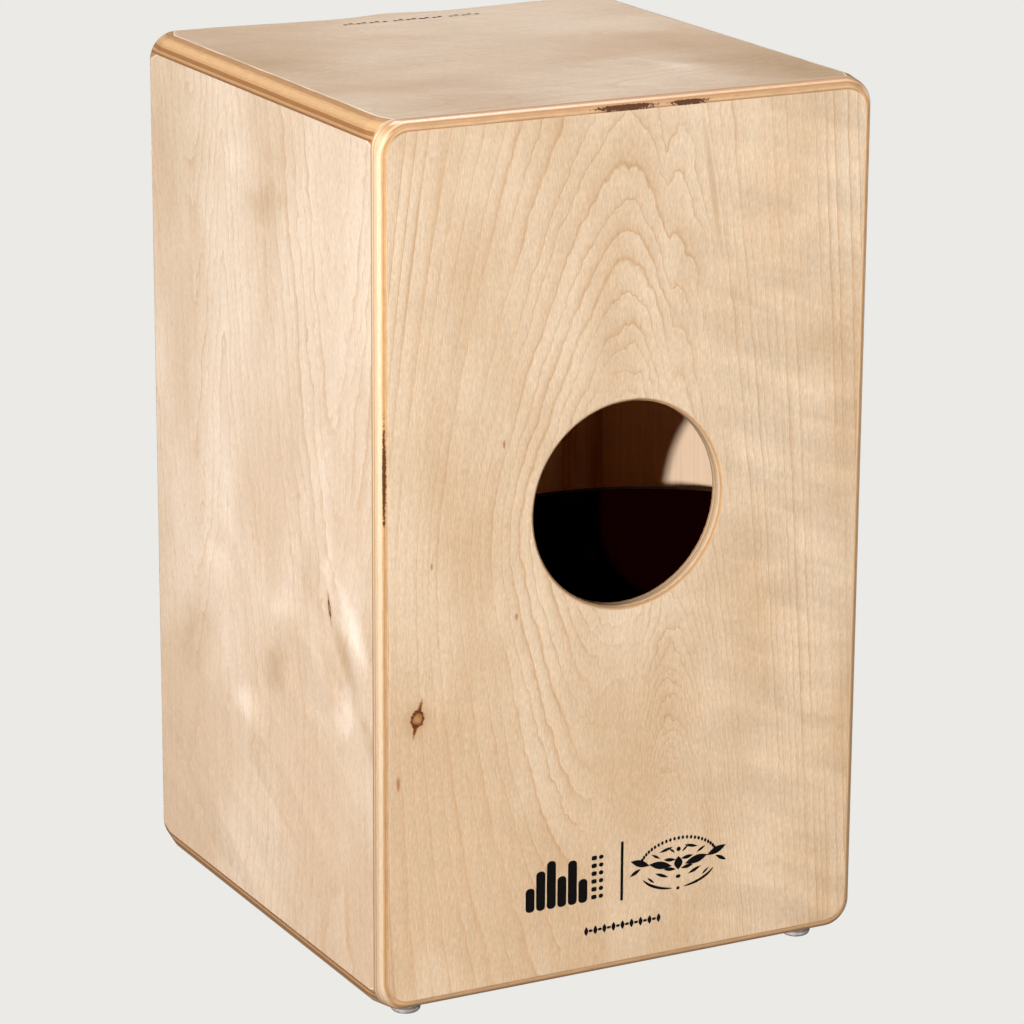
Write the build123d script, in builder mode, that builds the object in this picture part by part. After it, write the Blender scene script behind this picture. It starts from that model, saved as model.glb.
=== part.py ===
"""A string cajon: a plywood box drum with a thin playing face and snare strings behind it.

The origin is on the floor, under the middle of the box.  The sound hole faces -Y, the
playing face (tapa) faces +Y, and the seat faces +Z.  All sizes are in millimetres.
"""

import math
import os

from build123d import *

# ---- driving dimensions ------------------------------------------------------------

WIDTH = 300.0
DEPTH = 300.0
HEIGHT = 500.0
FOOT_HEIGHT = 8.0

SEAT_THICKNESS = 11.0
BOTTOM_THICKNESS = 11.0
SIDE_THICKNESS = 12.0
BACK_THICKNESS = 8.5
TAPA_THICKNESS = 3.0

# hand-sanded outline: the corners of both end faces are rounder than the long edges
LONG_EDGE_RADIUS = 10.5
END_CORNER_RADIUS = 18.0
CORNER_TAPER = 18.0
BACK_ROUNDOVER = 6.1
FRONT_ROUNDOVER = 5.0

# the two finger scoops in the seat's front edge are places where its roundover grows
SCOOP_RIDGE_RADIUS = 6.4
SCOOP_DEEP_RADIUS = 11.8
SCOOP_FADED_RADIUS = 4.4
SCOOP_DEEP_X = 32.0
SCOOP_REACH_X = 128.0
SCOOP_STATIONS = (0.0, 11.0, 22.0, SCOOP_DEEP_X, 48.0, 64.0, 80.0, 96.0, 112.0, SCOOP_REACH_X)
SCOOP_MARGIN = 8.0

SOUND_HOLE_RADIUS = 57.4
SOUND_HOLE_Z = 278.0
SOUND_HOLE_ROUNDOVER = 2.2
EDGE_MATCH_TOLERANCE = 0.1

BATTEN = 18.0
CLEAT = 12.0

BAFFLE_Y = -50.0
BAFFLE_THICKNESS = 6.0
BAFFLE_TOP_Z = 256.7
BAFFLE_ARCH_RADIUS = 540.0
FELT_THICKNESS = 2.0

FOOT_RADIUS = 9.25
FOOT_BOTTOM_RADIUS = 7.9
FOOT_EDGE_RADIUS = 2.4
FOOT_RECESS_RADIUS = 4.6
FOOT_RECESS_DEPTH = 3.5
FOOT_SIDE_INSET = 25.0
FOOT_END_INSET = 20.0
FOOT_HOLE_RADIUS = 2.0
WASHER_RADIUS = 4.3
WASHER_THICKNESS = 0.8
FOOT_SCREW_HEAD_RADIUS = 3.4
FOOT_SCREW_HEAD_HEIGHT = 1.9
FOOT_SCREW_RADIUS = 1.75
FOOT_SCREW_BITE = 9.0

TAPA_SCREW_RADIUS = 1.5
TAPA_SCREW_HEAD_RADIUS = 3.2
TAPA_SCREW_HEAD_DEPTH = 1.7
TAPA_SCREW_LENGTH = 15.0
RECESS_WIDTH = 0.9
RECESS_LENGTH = 3.4
RECESS_DEPTH = 1.2
SCREW_ROWS = 6
SCREW_FIRST_Z = 28.0
SCREW_LAST_Z = 480.0
SCREW_MIDDLE_X = 86.0
GLUE_GAP = 0.02

# string tensioner: a captive M6 screw draws a threaded carriage down its guide
GUIDE_HALF_WIDTH = 45.0
GUIDE_BACK_WALL = 6.0
GUIDE_DEPTH = 30.0
GUIDE_TOP_Z = 64.0
CARRIAGE_X = 22.0
CARRIAGE_HALF_WIDTH = 12.0
CARRIAGE_LOW_Z = 34.0
CARRIAGE_HEIGHT = 12.0
CARRIAGE_EDGE_RADIUS = 1.0
SLIDE_CLEARANCE = 0.3
RUNNING_CLEARANCE = 0.05
TENSION_Y = 134.0
TENSION_SCREW_RADIUS = 3.0
TENSION_SCREW_TOP_Z = 60.0
TENSION_HEAD_RADIUS = 5.25
TENSION_HEAD_HEIGHT = 3.25
TENSION_HEAD_ROUNDING = 1.8
HEX_ACROSS_FLATS = 4.0
HEX_DEPTH = 2.0
BUSH_FLANGE_RADIUS = 8.0
BUSH_FLANGE_THICKNESS = 1.5
BUSH_RADIUS = 5.0
CLIP_RADIUS = 5.2
CLIP_THICKNESS = 0.8
CLIP_GROOVE_DEPTH = 0.5
CLIP_STANDOFF = 0.2

STRING_RADIUS = 0.35
STRING_Y = 146.3
STRING_SPREAD = 10.0
STRING_TOP_X = 107.0
STRING_SLOT_WIDTH = 1.3
STRING_SLOT_DEPTH = 1.4
BALL_RADIUS = 1.9
BALL_LENGTH = 3.0
BALL_HOLE_RADIUS = 0.8
ANCHOR_LOW_Z = 440.0
ANCHOR_TOP_Z = 465.0
ANCHOR_WIDTH = 26.0
ANCHOR_SCREW_OFFSET = 3.2
ANCHOR_SCREW_Y = 141.0
ANCHOR_SCREW_HEAD_RADIUS = 2.5
ANCHOR_SCREW_HEAD_HEIGHT = 1.6
ANCHOR_SCREW_RADIUS = 1.25
ANCHOR_SCREW_BITE = 12.0

# ---- places that follow from them --------------------------------------------------

BODY_HEIGHT = HEIGHT - FOOT_HEIGHT
BODY_MIDDLE_Z = FOOT_HEIGHT + BODY_HEIGHT / 2
BACK_Y = -DEPTH / 2
FRONT_Y = DEPTH / 2
BACK_INNER_Y = BACK_Y + BACK_THICKNESS
TAPA_INNER_Y = FRONT_Y - TAPA_THICKNESS
SIDE_INNER_X = WIDTH / 2 - SIDE_THICKNESS
FLOOR_Z = FOOT_HEIGHT + BOTTOM_THICKNESS
SEAT_UNDER_Z = HEIGHT - SEAT_THICKNESS
BATTEN_INNER_X = SIDE_INNER_X - BATTEN
BATTEN_MIDDLE_X = SIDE_INNER_X - BATTEN / 2
GUIDE_BACK_Y = TAPA_INNER_Y - GUIDE_DEPTH
CARRIAGE_TOP_Z = CARRIAGE_LOW_Z + CARRIAGE_HEIGHT
CARRIAGE_FRONT_Y = TAPA_INNER_Y - SLIDE_CLEARANCE
FLANGE_LOW_Z = FOOT_HEIGHT - BUSH_FLANGE_THICKNESS
SIDES = {"left": -1, "right": 1}

os.makedirs("parts", exist_ok=True)


def box_between(low, high, mode=Mode.ADD):
    """A box in the open part, given by its lowest and highest corners."""
    middle = (Vector(*low) + Vector(*high)) / 2
    size = Vector(*high) - Vector(*low)
    with Locations(middle):
        Box(*size, mode=mode)


def save(piece, name):
    piece.part.label = name
    export_step(piece.part, f"parts/{name}.step")


# ---- outline of the whole box, which every outer board is trimmed to ----------------


def scoop_radius(x):
    """The roundover of the seat's front edge at a distance x from the middle."""
    distance = abs(x)
    if distance <= SCOOP_DEEP_X:
        share = math.sin(math.pi / 2 * distance / SCOOP_DEEP_X) ** 2
        return SCOOP_RIDGE_RADIUS + (SCOOP_DEEP_RADIUS - SCOOP_RIDGE_RADIUS) * share
    faded = (distance - SCOOP_DEEP_X) / (SCOOP_REACH_X - SCOOP_DEEP_X)
    share = math.cos(math.pi / 2 * faded) ** 2
    return SCOOP_FADED_RADIUS + (SCOOP_DEEP_RADIUS - SCOOP_FADED_RADIUS) * share


with BuildPart() as outline:
    straight_half = DEPTH / 2 - CORNER_TAPER
    with BuildSketch(Plane.XZ.offset(straight_half)):
        with Locations((0, BODY_MIDDLE_Z)):
            RectangleRounded(WIDTH, BODY_HEIGHT, LONG_EDGE_RADIUS)
    extrude(amount=-2 * straight_half)
    for end in (-1, 1):
        with BuildSketch(Plane.XZ.offset(end * straight_half)):
            with Locations((0, BODY_MIDDLE_Z)):
                RectangleRounded(WIDTH, BODY_HEIGHT, LONG_EDGE_RADIUS)
        with BuildSketch(Plane.XZ.offset(end * DEPTH / 2)):
            with Locations((0, BODY_MIDDLE_Z)):
                RectangleRounded(WIDTH, BODY_HEIGHT, END_CORNER_RADIUS)
        loft(ruled=True)
    fillet(outline.faces().sort_by(Axis.Y)[0].edges(), BACK_ROUNDOVER)
    fillet(outline.faces().sort_by(Axis.Y)[-1].edges(), FRONT_ROUNDOVER)
    # what the finger scoops take off the seat's front edge: one half, then its mirror image
    for station in SCOOP_STATIONS:
        radius = scoop_radius(station)
        inner = (FRONT_Y - radius, HEIGHT)
        lower = (FRONT_Y, HEIGHT - radius)
        with BuildSketch(Plane.YZ.offset(station)):
            with BuildLine():
                Polyline(
                    lower,
                    (FRONT_Y + SCOOP_MARGIN, HEIGHT - radius),
                    (FRONT_Y + SCOOP_MARGIN, HEIGHT + SCOOP_MARGIN),
                    (FRONT_Y - radius, HEIGHT + SCOOP_MARGIN),
                    inner,
                )
                RadiusArc(inner, lower, radius)
            make_face()
    scoop = loft(mode=Mode.PRIVATE)
    add(scoop, mode=Mode.SUBTRACT)
    add(mirror(scoop, about=Plane.YZ, mode=Mode.PRIVATE), mode=Mode.SUBTRACT)

# ---- the box ------------------------------------------------------------------------

BOARDS = {
    "seat_panel": (
        (-WIDTH / 2, BACK_INNER_Y, SEAT_UNDER_Z),
        (WIDTH / 2, TAPA_INNER_Y, HEIGHT),
    ),
    "side_panel_left": (
        (-WIDTH / 2, BACK_INNER_Y, FLOOR_Z),
        (-SIDE_INNER_X, TAPA_INNER_Y, SEAT_UNDER_Z),
    ),
    "side_panel_right": (
        (SIDE_INNER_X, BACK_INNER_Y, FLOOR_Z),
        (WIDTH / 2, TAPA_INNER_Y, SEAT_UNDER_Z),
    ),
}
for name, (low, high) in BOARDS.items():
    with BuildPart() as board:
        box_between(low, high)
        add(outline.part, mode=Mode.INTERSECT)
    save(board, name)

foot_places = [
    (side * (WIDTH / 2 - FOOT_SIDE_INSET), end * (DEPTH / 2 - FOOT_END_INSET))
    for end in (-1, 1)
    for side in (-1, 1)
]

with BuildPart() as bottom_panel:
    box_between(
        (-WIDTH / 2, BACK_INNER_Y, FOOT_HEIGHT),
        (WIDTH / 2, TAPA_INNER_Y, FLOOR_Z),
    )
    add(outline.part, mode=Mode.INTERSECT)
    # pilot holes for the foot screws, and clear holes for the tensioner's bushes
    with BuildSketch(Plane.XY.offset(FOOT_HEIGHT)):
        with Locations(*foot_places):
            Circle(FOOT_SCREW_RADIUS + GLUE_GAP)
    extrude(amount=FOOT_SCREW_BITE + GLUE_GAP, mode=Mode.SUBTRACT)
    with BuildSketch(Plane.XY.offset(FOOT_HEIGHT)):
        with Locations((-CARRIAGE_X, TENSION_Y), (CARRIAGE_X, TENSION_Y)):
            Circle(BUSH_RADIUS + GLUE_GAP)
    extrude(amount=BOTTOM_THICKNESS, mode=Mode.SUBTRACT)
save(bottom_panel, "bottom_panel")

with BuildPart() as back_panel:
    box_between(
        (-WIDTH / 2, BACK_Y, FOOT_HEIGHT),
        (WIDTH / 2, BACK_INNER_Y, HEIGHT),
    )
    add(outline.part, mode=Mode.INTERSECT)
    with BuildSketch(Plane.XZ.offset(DEPTH / 2)):
        with Locations((0, SOUND_HOLE_Z)):
            Circle(SOUND_HOLE_RADIUS)
    extrude(amount=-BACK_THICKNESS, mode=Mode.SUBTRACT)
    hole_rims = back_panel.edges().filter_by(
        lambda edge: edge.geom_type == GeomType.CIRCLE
        and abs(edge.radius - SOUND_HOLE_RADIUS) < EDGE_MATCH_TOLERANCE
    )
    fillet(hole_rims.sort_by(Axis.Y)[0], SOUND_HOLE_ROUNDOVER)
save(back_panel, "back_panel")

# countersunk screws: a row down each side, and three along the top and the bottom
row_pitch = (SCREW_LAST_Z - SCREW_FIRST_Z) / (SCREW_ROWS - 1)
screw_places = [
    (side * BATTEN_MIDDLE_X, SCREW_FIRST_Z + row * row_pitch)
    for side in (-1, 1)
    for row in range(SCREW_ROWS)
]
screw_places += [
    (x, z)
    for x in (-SCREW_MIDDLE_X, 0, SCREW_MIDDLE_X)
    for z in (SCREW_FIRST_Z, SCREW_LAST_Z)
]
front_plane = Plane.XZ.offset(-FRONT_Y)
head_seat_plane = front_plane.offset(TAPA_SCREW_HEAD_DEPTH)

with BuildPart() as tapa:
    box_between(
        (-WIDTH / 2, TAPA_INNER_Y, FOOT_HEIGHT),
        (WIDTH / 2, FRONT_Y, HEIGHT),
    )
    add(outline.part, mode=Mode.INTERSECT)
    for place in screw_places:
        with BuildSketch(front_plane):
            with Locations(place):
                Circle(TAPA_SCREW_HEAD_RADIUS + GLUE_GAP)
        with BuildSketch(head_seat_plane):
            with Locations(place):
                Circle(TAPA_SCREW_RADIUS + GLUE_GAP)
        loft(mode=Mode.SUBTRACT)
    with BuildSketch(front_plane):
        with Locations(*screw_places):
            Circle(TAPA_SCREW_RADIUS + GLUE_GAP)
    extrude(amount=TAPA_THICKNESS, mode=Mode.SUBTRACT)
save(tapa, "tapa")

with BuildPart() as tapa_screws:
    for place in screw_places:
        with BuildSketch(front_plane):
            with Locations(place):
                Circle(TAPA_SCREW_HEAD_RADIUS)
        with BuildSketch(head_seat_plane):
            with Locations(place):
                Circle(TAPA_SCREW_RADIUS)
        loft()
    with BuildSketch(head_seat_plane):
        with Locations(*screw_places):
            Circle(TAPA_SCREW_RADIUS)
    extrude(amount=TAPA_SCREW_LENGTH - TAPA_SCREW_HEAD_DEPTH)
    # cross recess in each head
    with BuildSketch(front_plane):
        with Locations(*screw_places):
            Rectangle(RECESS_LENGTH, RECESS_WIDTH)
            Rectangle(RECESS_WIDTH, RECESS_LENGTH)
    extrude(amount=RECESS_DEPTH, mode=Mode.SUBTRACT)
save(tapa_screws, "tapa_screws")

# ---- frame behind the tapa, and glue cleats behind the back panel --------------------

BATTENS = {
    "front_batten_left": (
        (-SIDE_INNER_X, TAPA_INNER_Y - BATTEN, FLOOR_Z),
        (-BATTEN_INNER_X, TAPA_INNER_Y, SEAT_UNDER_Z),
    ),
    "front_batten_right": (
        (BATTEN_INNER_X, TAPA_INNER_Y - BATTEN, FLOOR_Z),
        (SIDE_INNER_X, TAPA_INNER_Y, SEAT_UNDER_Z),
    ),
    "front_batten_top": (
        (-BATTEN_INNER_X, TAPA_INNER_Y - BATTEN, SEAT_UNDER_Z - BATTEN),
        (BATTEN_INNER_X, TAPA_INNER_Y, SEAT_UNDER_Z),
    ),
    "front_batten_bottom_left": (
        (-BATTEN_INNER_X, TAPA_INNER_Y - BATTEN, FLOOR_Z),
        (-GUIDE_HALF_WIDTH, TAPA_INNER_Y, FLOOR_Z + BATTEN),
    ),
    "front_batten_bottom_right": (
        (GUIDE_HALF_WIDTH, TAPA_INNER_Y - BATTEN, FLOOR_Z),
        (BATTEN_INNER_X, TAPA_INNER_Y, FLOOR_Z + BATTEN),
    ),
}
for name, (low, high) in BATTENS.items():
    with BuildPart() as batten:
        box_between(low, high)
        with BuildSketch(front_plane):
            with Locations(*screw_places):
                Circle(TAPA_SCREW_RADIUS + GLUE_GAP)
        extrude(amount=TAPA_SCREW_LENGTH + GLUE_GAP, mode=Mode.SUBTRACT)
    save(batten, name)

CLEAT_INNER_X = SIDE_INNER_X - CLEAT
CLEATS = {
    "back_cleat_left": (
        (-SIDE_INNER_X, BACK_INNER_Y, FLOOR_Z),
        (-CLEAT_INNER_X, BACK_INNER_Y + CLEAT, SEAT_UNDER_Z),
    ),
    "back_cleat_right": (
        (CLEAT_INNER_X, BACK_INNER_Y, FLOOR_Z),
        (SIDE_INNER_X, BACK_INNER_Y + CLEAT, SEAT_UNDER_Z),
    ),
    "back_cleat_top": (
        (-CLEAT_INNER_X, BACK_INNER_Y, SEAT_UNDER_Z - CLEAT),
        (CLEAT_INNER_X, BACK_INNER_Y + CLEAT, SEAT_UNDER_Z),
    ),
    "back_cleat_bottom": (
        (-CLEAT_INNER_X, BACK_INNER_Y, FLOOR_Z),
        (CLEAT_INNER_X, BACK_INNER_Y + CLEAT, FLOOR_Z + CLEAT),
    ),
}
for name, (low, high) in CLEATS.items():
    with BuildPart() as cleat:
        box_between(low, high)
    save(cleat, name)

# ---- arched baffle between the sound hole and the tapa -------------------------------


def arch_z(x):
    """The height of the baffle's arched top edge at a distance x from the middle."""
    return BAFFLE_TOP_Z - BAFFLE_ARCH_RADIUS + math.sqrt(BAFFLE_ARCH_RADIUS**2 - x**2)


BAFFLE_LAYERS = {
    "baffle_board": (BAFFLE_Y, BAFFLE_THICKNESS),
    "baffle_felt": (BAFFLE_Y - FELT_THICKNESS, FELT_THICKNESS),
}
for name, (rear_y, thickness) in BAFFLE_LAYERS.items():
    with BuildPart() as layer:
        with BuildSketch(Plane.XZ.offset(-rear_y)):
            with BuildLine():
                shoulder_z = arch_z(SIDE_INNER_X)
                Polyline(
                    (SIDE_INNER_X, shoulder_z),
                    (SIDE_INNER_X, FLOOR_Z),
                    (-SIDE_INNER_X, FLOOR_Z),
                    (-SIDE_INNER_X, shoulder_z),
                )
                ThreePointArc(
                    (-SIDE_INNER_X, shoulder_z),
                    (0, BAFFLE_TOP_Z),
                    (SIDE_INNER_X, shoulder_z),
                )
            make_face()
        extrude(amount=-thickness)
    save(layer, name)

for side_name, side in SIDES.items():
    with BuildPart() as baffle_cleat:
        with Locations((side * (SIDE_INNER_X - CLEAT / 2), BAFFLE_Y + BAFFLE_THICKNESS, FLOOR_Z)):
            Box(
                CLEAT,
                CLEAT,
                arch_z(SIDE_INNER_X) - FLOOR_Z,
                align=(Align.CENTER, Align.MIN, Align.MIN),
            )
    save(baffle_cleat, f"baffle_cleat_{side_name}")

# ---- rubber feet ----------------------------------------------------------------------

FOOT_NAMES = (
    "foot_back_left",
    "foot_back_right",
    "foot_front_left",
    "foot_front_right",
)
for name, place in zip(FOOT_NAMES, foot_places):
    with BuildPart() as foot:
        with BuildSketch(Plane.XY.offset(FOOT_HEIGHT)):
            with Locations(place):
                Circle(FOOT_RADIUS)
        with BuildSketch():
            with Locations(place):
                Circle(FOOT_BOTTOM_RADIUS)
        loft()
        fillet(foot.faces().sort_by(Axis.Z)[0].edges(), FOOT_EDGE_RADIUS)
        with BuildSketch():
            with Locations(place):
                Circle(FOOT_RECESS_RADIUS)
        extrude(amount=FOOT_RECESS_DEPTH, mode=Mode.SUBTRACT)
        with BuildSketch():
            with Locations(place):
                Circle(FOOT_HOLE_RADIUS)
        extrude(amount=FOOT_HEIGHT, mode=Mode.SUBTRACT)
    save(foot, name)

with BuildPart() as foot_washers:
    with BuildSketch(Plane.XY.offset(FOOT_RECESS_DEPTH)):
        with Locations(*foot_places):
            Circle(WASHER_RADIUS)
            Circle(FOOT_HOLE_RADIUS, mode=Mode.SUBTRACT)
    extrude(amount=-WASHER_THICKNESS)
save(foot_washers, "foot_washers")

foot_head_top_z = FOOT_RECESS_DEPTH - WASHER_THICKNESS
with BuildPart() as foot_screws:
    with BuildSketch(Plane.XY.offset(foot_head_top_z)):
        with Locations(*foot_places):
            Circle(FOOT_SCREW_HEAD_RADIUS)
    extrude(amount=-FOOT_SCREW_HEAD_HEIGHT)
    head_rims = foot_screws.faces().group_by(Axis.Z)[0].edges()
    fillet(head_rims, FOOT_SCREW_HEAD_HEIGHT / 2)
    with BuildSketch(Plane.XY.offset(foot_head_top_z)):
        with Locations(*foot_places):
            Circle(FOOT_SCREW_RADIUS)
    extrude(amount=FOOT_HEIGHT + FOOT_SCREW_BITE - foot_head_top_z)
    with BuildSketch(Plane.XY.offset(foot_head_top_z - FOOT_SCREW_HEAD_HEIGHT)):
        with Locations(*foot_places):
            Rectangle(RECESS_LENGTH, RECESS_WIDTH)
            Rectangle(RECESS_WIDTH, RECESS_LENGTH)
    extrude(amount=RECESS_DEPTH, mode=Mode.SUBTRACT)
save(foot_screws, "foot_screws")

# ---- string tensioner -----------------------------------------------------------------

channel_half_width = CARRIAGE_HALF_WIDTH + SLIDE_CLEARANCE
with BuildPart() as tension_guide:
    box_between(
        (-GUIDE_HALF_WIDTH, GUIDE_BACK_Y, FLOOR_Z),
        (GUIDE_HALF_WIDTH, TAPA_INNER_Y, GUIDE_TOP_Z),
    )
    for side in SIDES.values():
        box_between(
            (side * CARRIAGE_X - channel_half_width, GUIDE_BACK_Y + GUIDE_BACK_WALL, FLOOR_Z),
            (side * CARRIAGE_X + channel_half_width, TAPA_INNER_Y, GUIDE_TOP_Z),
            mode=Mode.SUBTRACT,
        )
    with BuildSketch(front_plane):
        with Locations((0, SCREW_FIRST_Z)):
            Circle(TAPA_SCREW_RADIUS + GLUE_GAP)
    extrude(amount=TAPA_SCREW_LENGTH + GLUE_GAP, mode=Mode.SUBTRACT)
save(tension_guide, "tension_guide")

carriage_back_y = GUIDE_BACK_Y + GUIDE_BACK_WALL + SLIDE_CLEARANCE
string_slope = (STRING_TOP_X - CARRIAGE_X) / (ANCHOR_TOP_Z - CARRIAGE_LOW_Z)
string_lean = math.degrees(math.atan(string_slope))
slot_plane = Plane.XZ.offset(-(STRING_Y - STRING_SLOT_DEPTH / 2))


def string_x(side, place, z):
    """Where a string crosses the height z; place is -1 for the inner one and 1 for the outer."""
    at_carriage = CARRIAGE_X + place * STRING_SPREAD / 2
    return side * (at_carriage + string_slope * (z - CARRIAGE_LOW_Z))


def slot_centres(side, middle_z):
    return [(string_x(side, place, middle_z), middle_z) for place in (-1, 1)]


for side_name, side in SIDES.items():
    screw_at = (side * CARRIAGE_X, TENSION_Y)

    with BuildPart() as tension_bush:
        with BuildSketch(Plane.XY.offset(FLANGE_LOW_Z)):
            with Locations(screw_at):
                Circle(BUSH_FLANGE_RADIUS)
        extrude(amount=BUSH_FLANGE_THICKNESS)
        with BuildSketch(Plane.XY.offset(FOOT_HEIGHT)):
            with Locations(screw_at):
                Circle(BUSH_RADIUS)
        extrude(amount=BOTTOM_THICKNESS)
        with BuildSketch(Plane.XY.offset(FLANGE_LOW_Z)):
            with Locations(screw_at):
                Circle(TENSION_SCREW_RADIUS + RUNNING_CLEARANCE)
        extrude(amount=BUSH_FLANGE_THICKNESS + BOTTOM_THICKNESS, mode=Mode.SUBTRACT)
    save(tension_bush, f"tension_bush_{side_name}")

    head_top_z = FLANGE_LOW_Z - RUNNING_CLEARANCE
    clip_low_z = FLOOR_Z + CLIP_STANDOFF
    with BuildPart() as tension_screw:
        with BuildSketch(Plane.XY.offset(head_top_z)):
            with Locations(screw_at):
                Circle(TENSION_HEAD_RADIUS)
        extrude(amount=-TENSION_HEAD_HEIGHT)
        fillet(tension_screw.faces().sort_by(Axis.Z)[0].edges(), TENSION_HEAD_ROUNDING)
        with BuildSketch(Plane.XY.offset(head_top_z)):
            with Locations(screw_at):
                Circle(TENSION_SCREW_RADIUS)
        extrude(amount=TENSION_SCREW_TOP_Z - head_top_z)
        # hexagon socket, and the groove that the retaining clip sits in
        with BuildSketch(Plane.XY.offset(head_top_z - TENSION_HEAD_HEIGHT)):
            with Locations(screw_at):
                RegularPolygon(HEX_ACROSS_FLATS / 2, 6, major_radius=False)
        extrude(amount=HEX_DEPTH, mode=Mode.SUBTRACT)
        with BuildSketch(Plane.XY.offset(clip_low_z)):
            with Locations(screw_at):
                Circle(TENSION_SCREW_RADIUS + RUNNING_CLEARANCE)
                Circle(TENSION_SCREW_RADIUS - CLIP_GROOVE_DEPTH, mode=Mode.SUBTRACT)
        extrude(amount=CLIP_THICKNESS, mode=Mode.SUBTRACT)
    save(tension_screw, f"tension_screw_{side_name}")

    with BuildPart() as tension_clip:
        with BuildSketch(Plane.XY.offset(clip_low_z)):
            with Locations(screw_at):
                Circle(CLIP_RADIUS)
                Circle(TENSION_SCREW_RADIUS - CLIP_GROOVE_DEPTH + GLUE_GAP, mode=Mode.SUBTRACT)
        extrude(amount=CLIP_THICKNESS - GLUE_GAP)
    save(tension_clip, f"tension_clip_{side_name}")

    with BuildPart() as tension_carriage:
        box_between(
            (side * CARRIAGE_X - CARRIAGE_HALF_WIDTH, carriage_back_y, CARRIAGE_LOW_Z),
            (side * CARRIAGE_X + CARRIAGE_HALF_WIDTH, CARRIAGE_FRONT_Y, CARRIAGE_TOP_Z),
        )
        fillet(tension_carriage.edges().filter_by(Axis.Z), CARRIAGE_EDGE_RADIUS)
        with BuildSketch(Plane.XY.offset(CARRIAGE_LOW_Z)):
            with Locations(screw_at):
                Circle(TENSION_SCREW_RADIUS + RUNNING_CLEARANCE)
        extrude(amount=CARRIAGE_HEIGHT, mode=Mode.SUBTRACT)
        # two slots, open to the front, that the strings lie in
        with BuildSketch(slot_plane):
            with Locations(*slot_centres(side, CARRIAGE_LOW_Z + CARRIAGE_HEIGHT / 2)):
                Rectangle(STRING_SLOT_WIDTH, 2 * CARRIAGE_HEIGHT, rotation=-side * string_lean)
        extrude(amount=-STRING_SLOT_DEPTH, mode=Mode.SUBTRACT)
    save(tension_carriage, f"tension_carriage_{side_name}")

    ball_z = CARRIAGE_LOW_Z - BALL_RADIUS - RUNNING_CLEARANCE
    ball_places = slot_centres(side, ball_z)
    with BuildPart() as ball_ends:
        with BuildSketch(Plane.XZ.offset(-(STRING_Y + STRING_RADIUS))):
            with Locations(*ball_places):
                Circle(BALL_RADIUS)
                Circle(BALL_HOLE_RADIUS, mode=Mode.SUBTRACT)
        extrude(amount=BALL_LENGTH)
    save(ball_ends, f"ball_ends_{side_name}")

    for place_name, place in {"inner": -1, "outer": 1}.items():
        string_low = Vector(string_x(side, place, CARRIAGE_LOW_Z), STRING_Y, CARRIAGE_LOW_Z)
        string_top = Vector(string_x(side, place, ANCHOR_TOP_Z), STRING_Y, ANCHOR_TOP_Z)
        along = string_top - string_low
        with BuildPart() as string:
            with BuildSketch(Plane(origin=string_low, z_dir=along)):
                Circle(STRING_RADIUS)
            extrude(amount=along.length)
        save(string, f"string_{side_name}_{place_name}")

    # anchor block on the side batten, with its strings in open slots
    anchor_outer_x = side * BATTEN_INNER_X
    anchor_inner_x = side * (BATTEN_INNER_X - ANCHOR_WIDTH)
    anchor_screw_places = [
        (string_x(side, place, ANCHOR_TOP_Z) - side * ANCHOR_SCREW_OFFSET, ANCHOR_SCREW_Y)
        for place in (-1, 1)
    ]
    with BuildPart() as string_anchor:
        box_between(
            (min(anchor_outer_x, anchor_inner_x), TAPA_INNER_Y - BATTEN, ANCHOR_LOW_Z),
            (max(anchor_outer_x, anchor_inner_x), CARRIAGE_FRONT_Y, ANCHOR_TOP_Z),
        )
        with BuildSketch(slot_plane):
            with Locations(*slot_centres(side, (ANCHOR_LOW_Z + ANCHOR_TOP_Z) / 2)):
                Rectangle(
                    STRING_SLOT_WIDTH,
                    2 * (ANCHOR_TOP_Z - ANCHOR_LOW_Z),
                    rotation=-side * string_lean,
                )
        extrude(amount=-STRING_SLOT_DEPTH, mode=Mode.SUBTRACT)
        with BuildSketch(Plane.XY.offset(ANCHOR_TOP_Z)):
            with Locations(*anchor_screw_places):
                Circle(ANCHOR_SCREW_RADIUS + GLUE_GAP)
        extrude(amount=-ANCHOR_SCREW_BITE - GLUE_GAP, mode=Mode.SUBTRACT)
    save(string_anchor, f"string_anchor_{side_name}")

    with BuildPart() as anchor_screws:
        with BuildSketch(Plane.XY.offset(ANCHOR_TOP_Z)):
            with Locations(*anchor_screw_places):
                Circle(ANCHOR_SCREW_HEAD_RADIUS)
        extrude(amount=ANCHOR_SCREW_HEAD_HEIGHT)
        fillet(anchor_screws.faces().group_by(Axis.Z)[-1].edges(), ANCHOR_SCREW_HEAD_HEIGHT / 2)
        with BuildSketch(Plane.XY.offset(ANCHOR_TOP_Z)):
            with Locations(*anchor_screw_places):
                Circle(ANCHOR_SCREW_RADIUS)
        extrude(amount=-ANCHOR_SCREW_BITE)
    save(anchor_screws, f"anchor_screws_{side_name}")
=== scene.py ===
"""Looks for the string cajon: camera, soft studio light, veneers, plywood edges, ink and strings.

Everything is in metres, in the frame of the CAD model: the sound hole faces -Y, the playing
face (tapa) faces +Y, +Z is up, and the origin is on the floor under the middle of the box.
"""

import math

import bmesh
import bpy
from mathutils import Matrix, Vector, bvhtree


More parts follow.
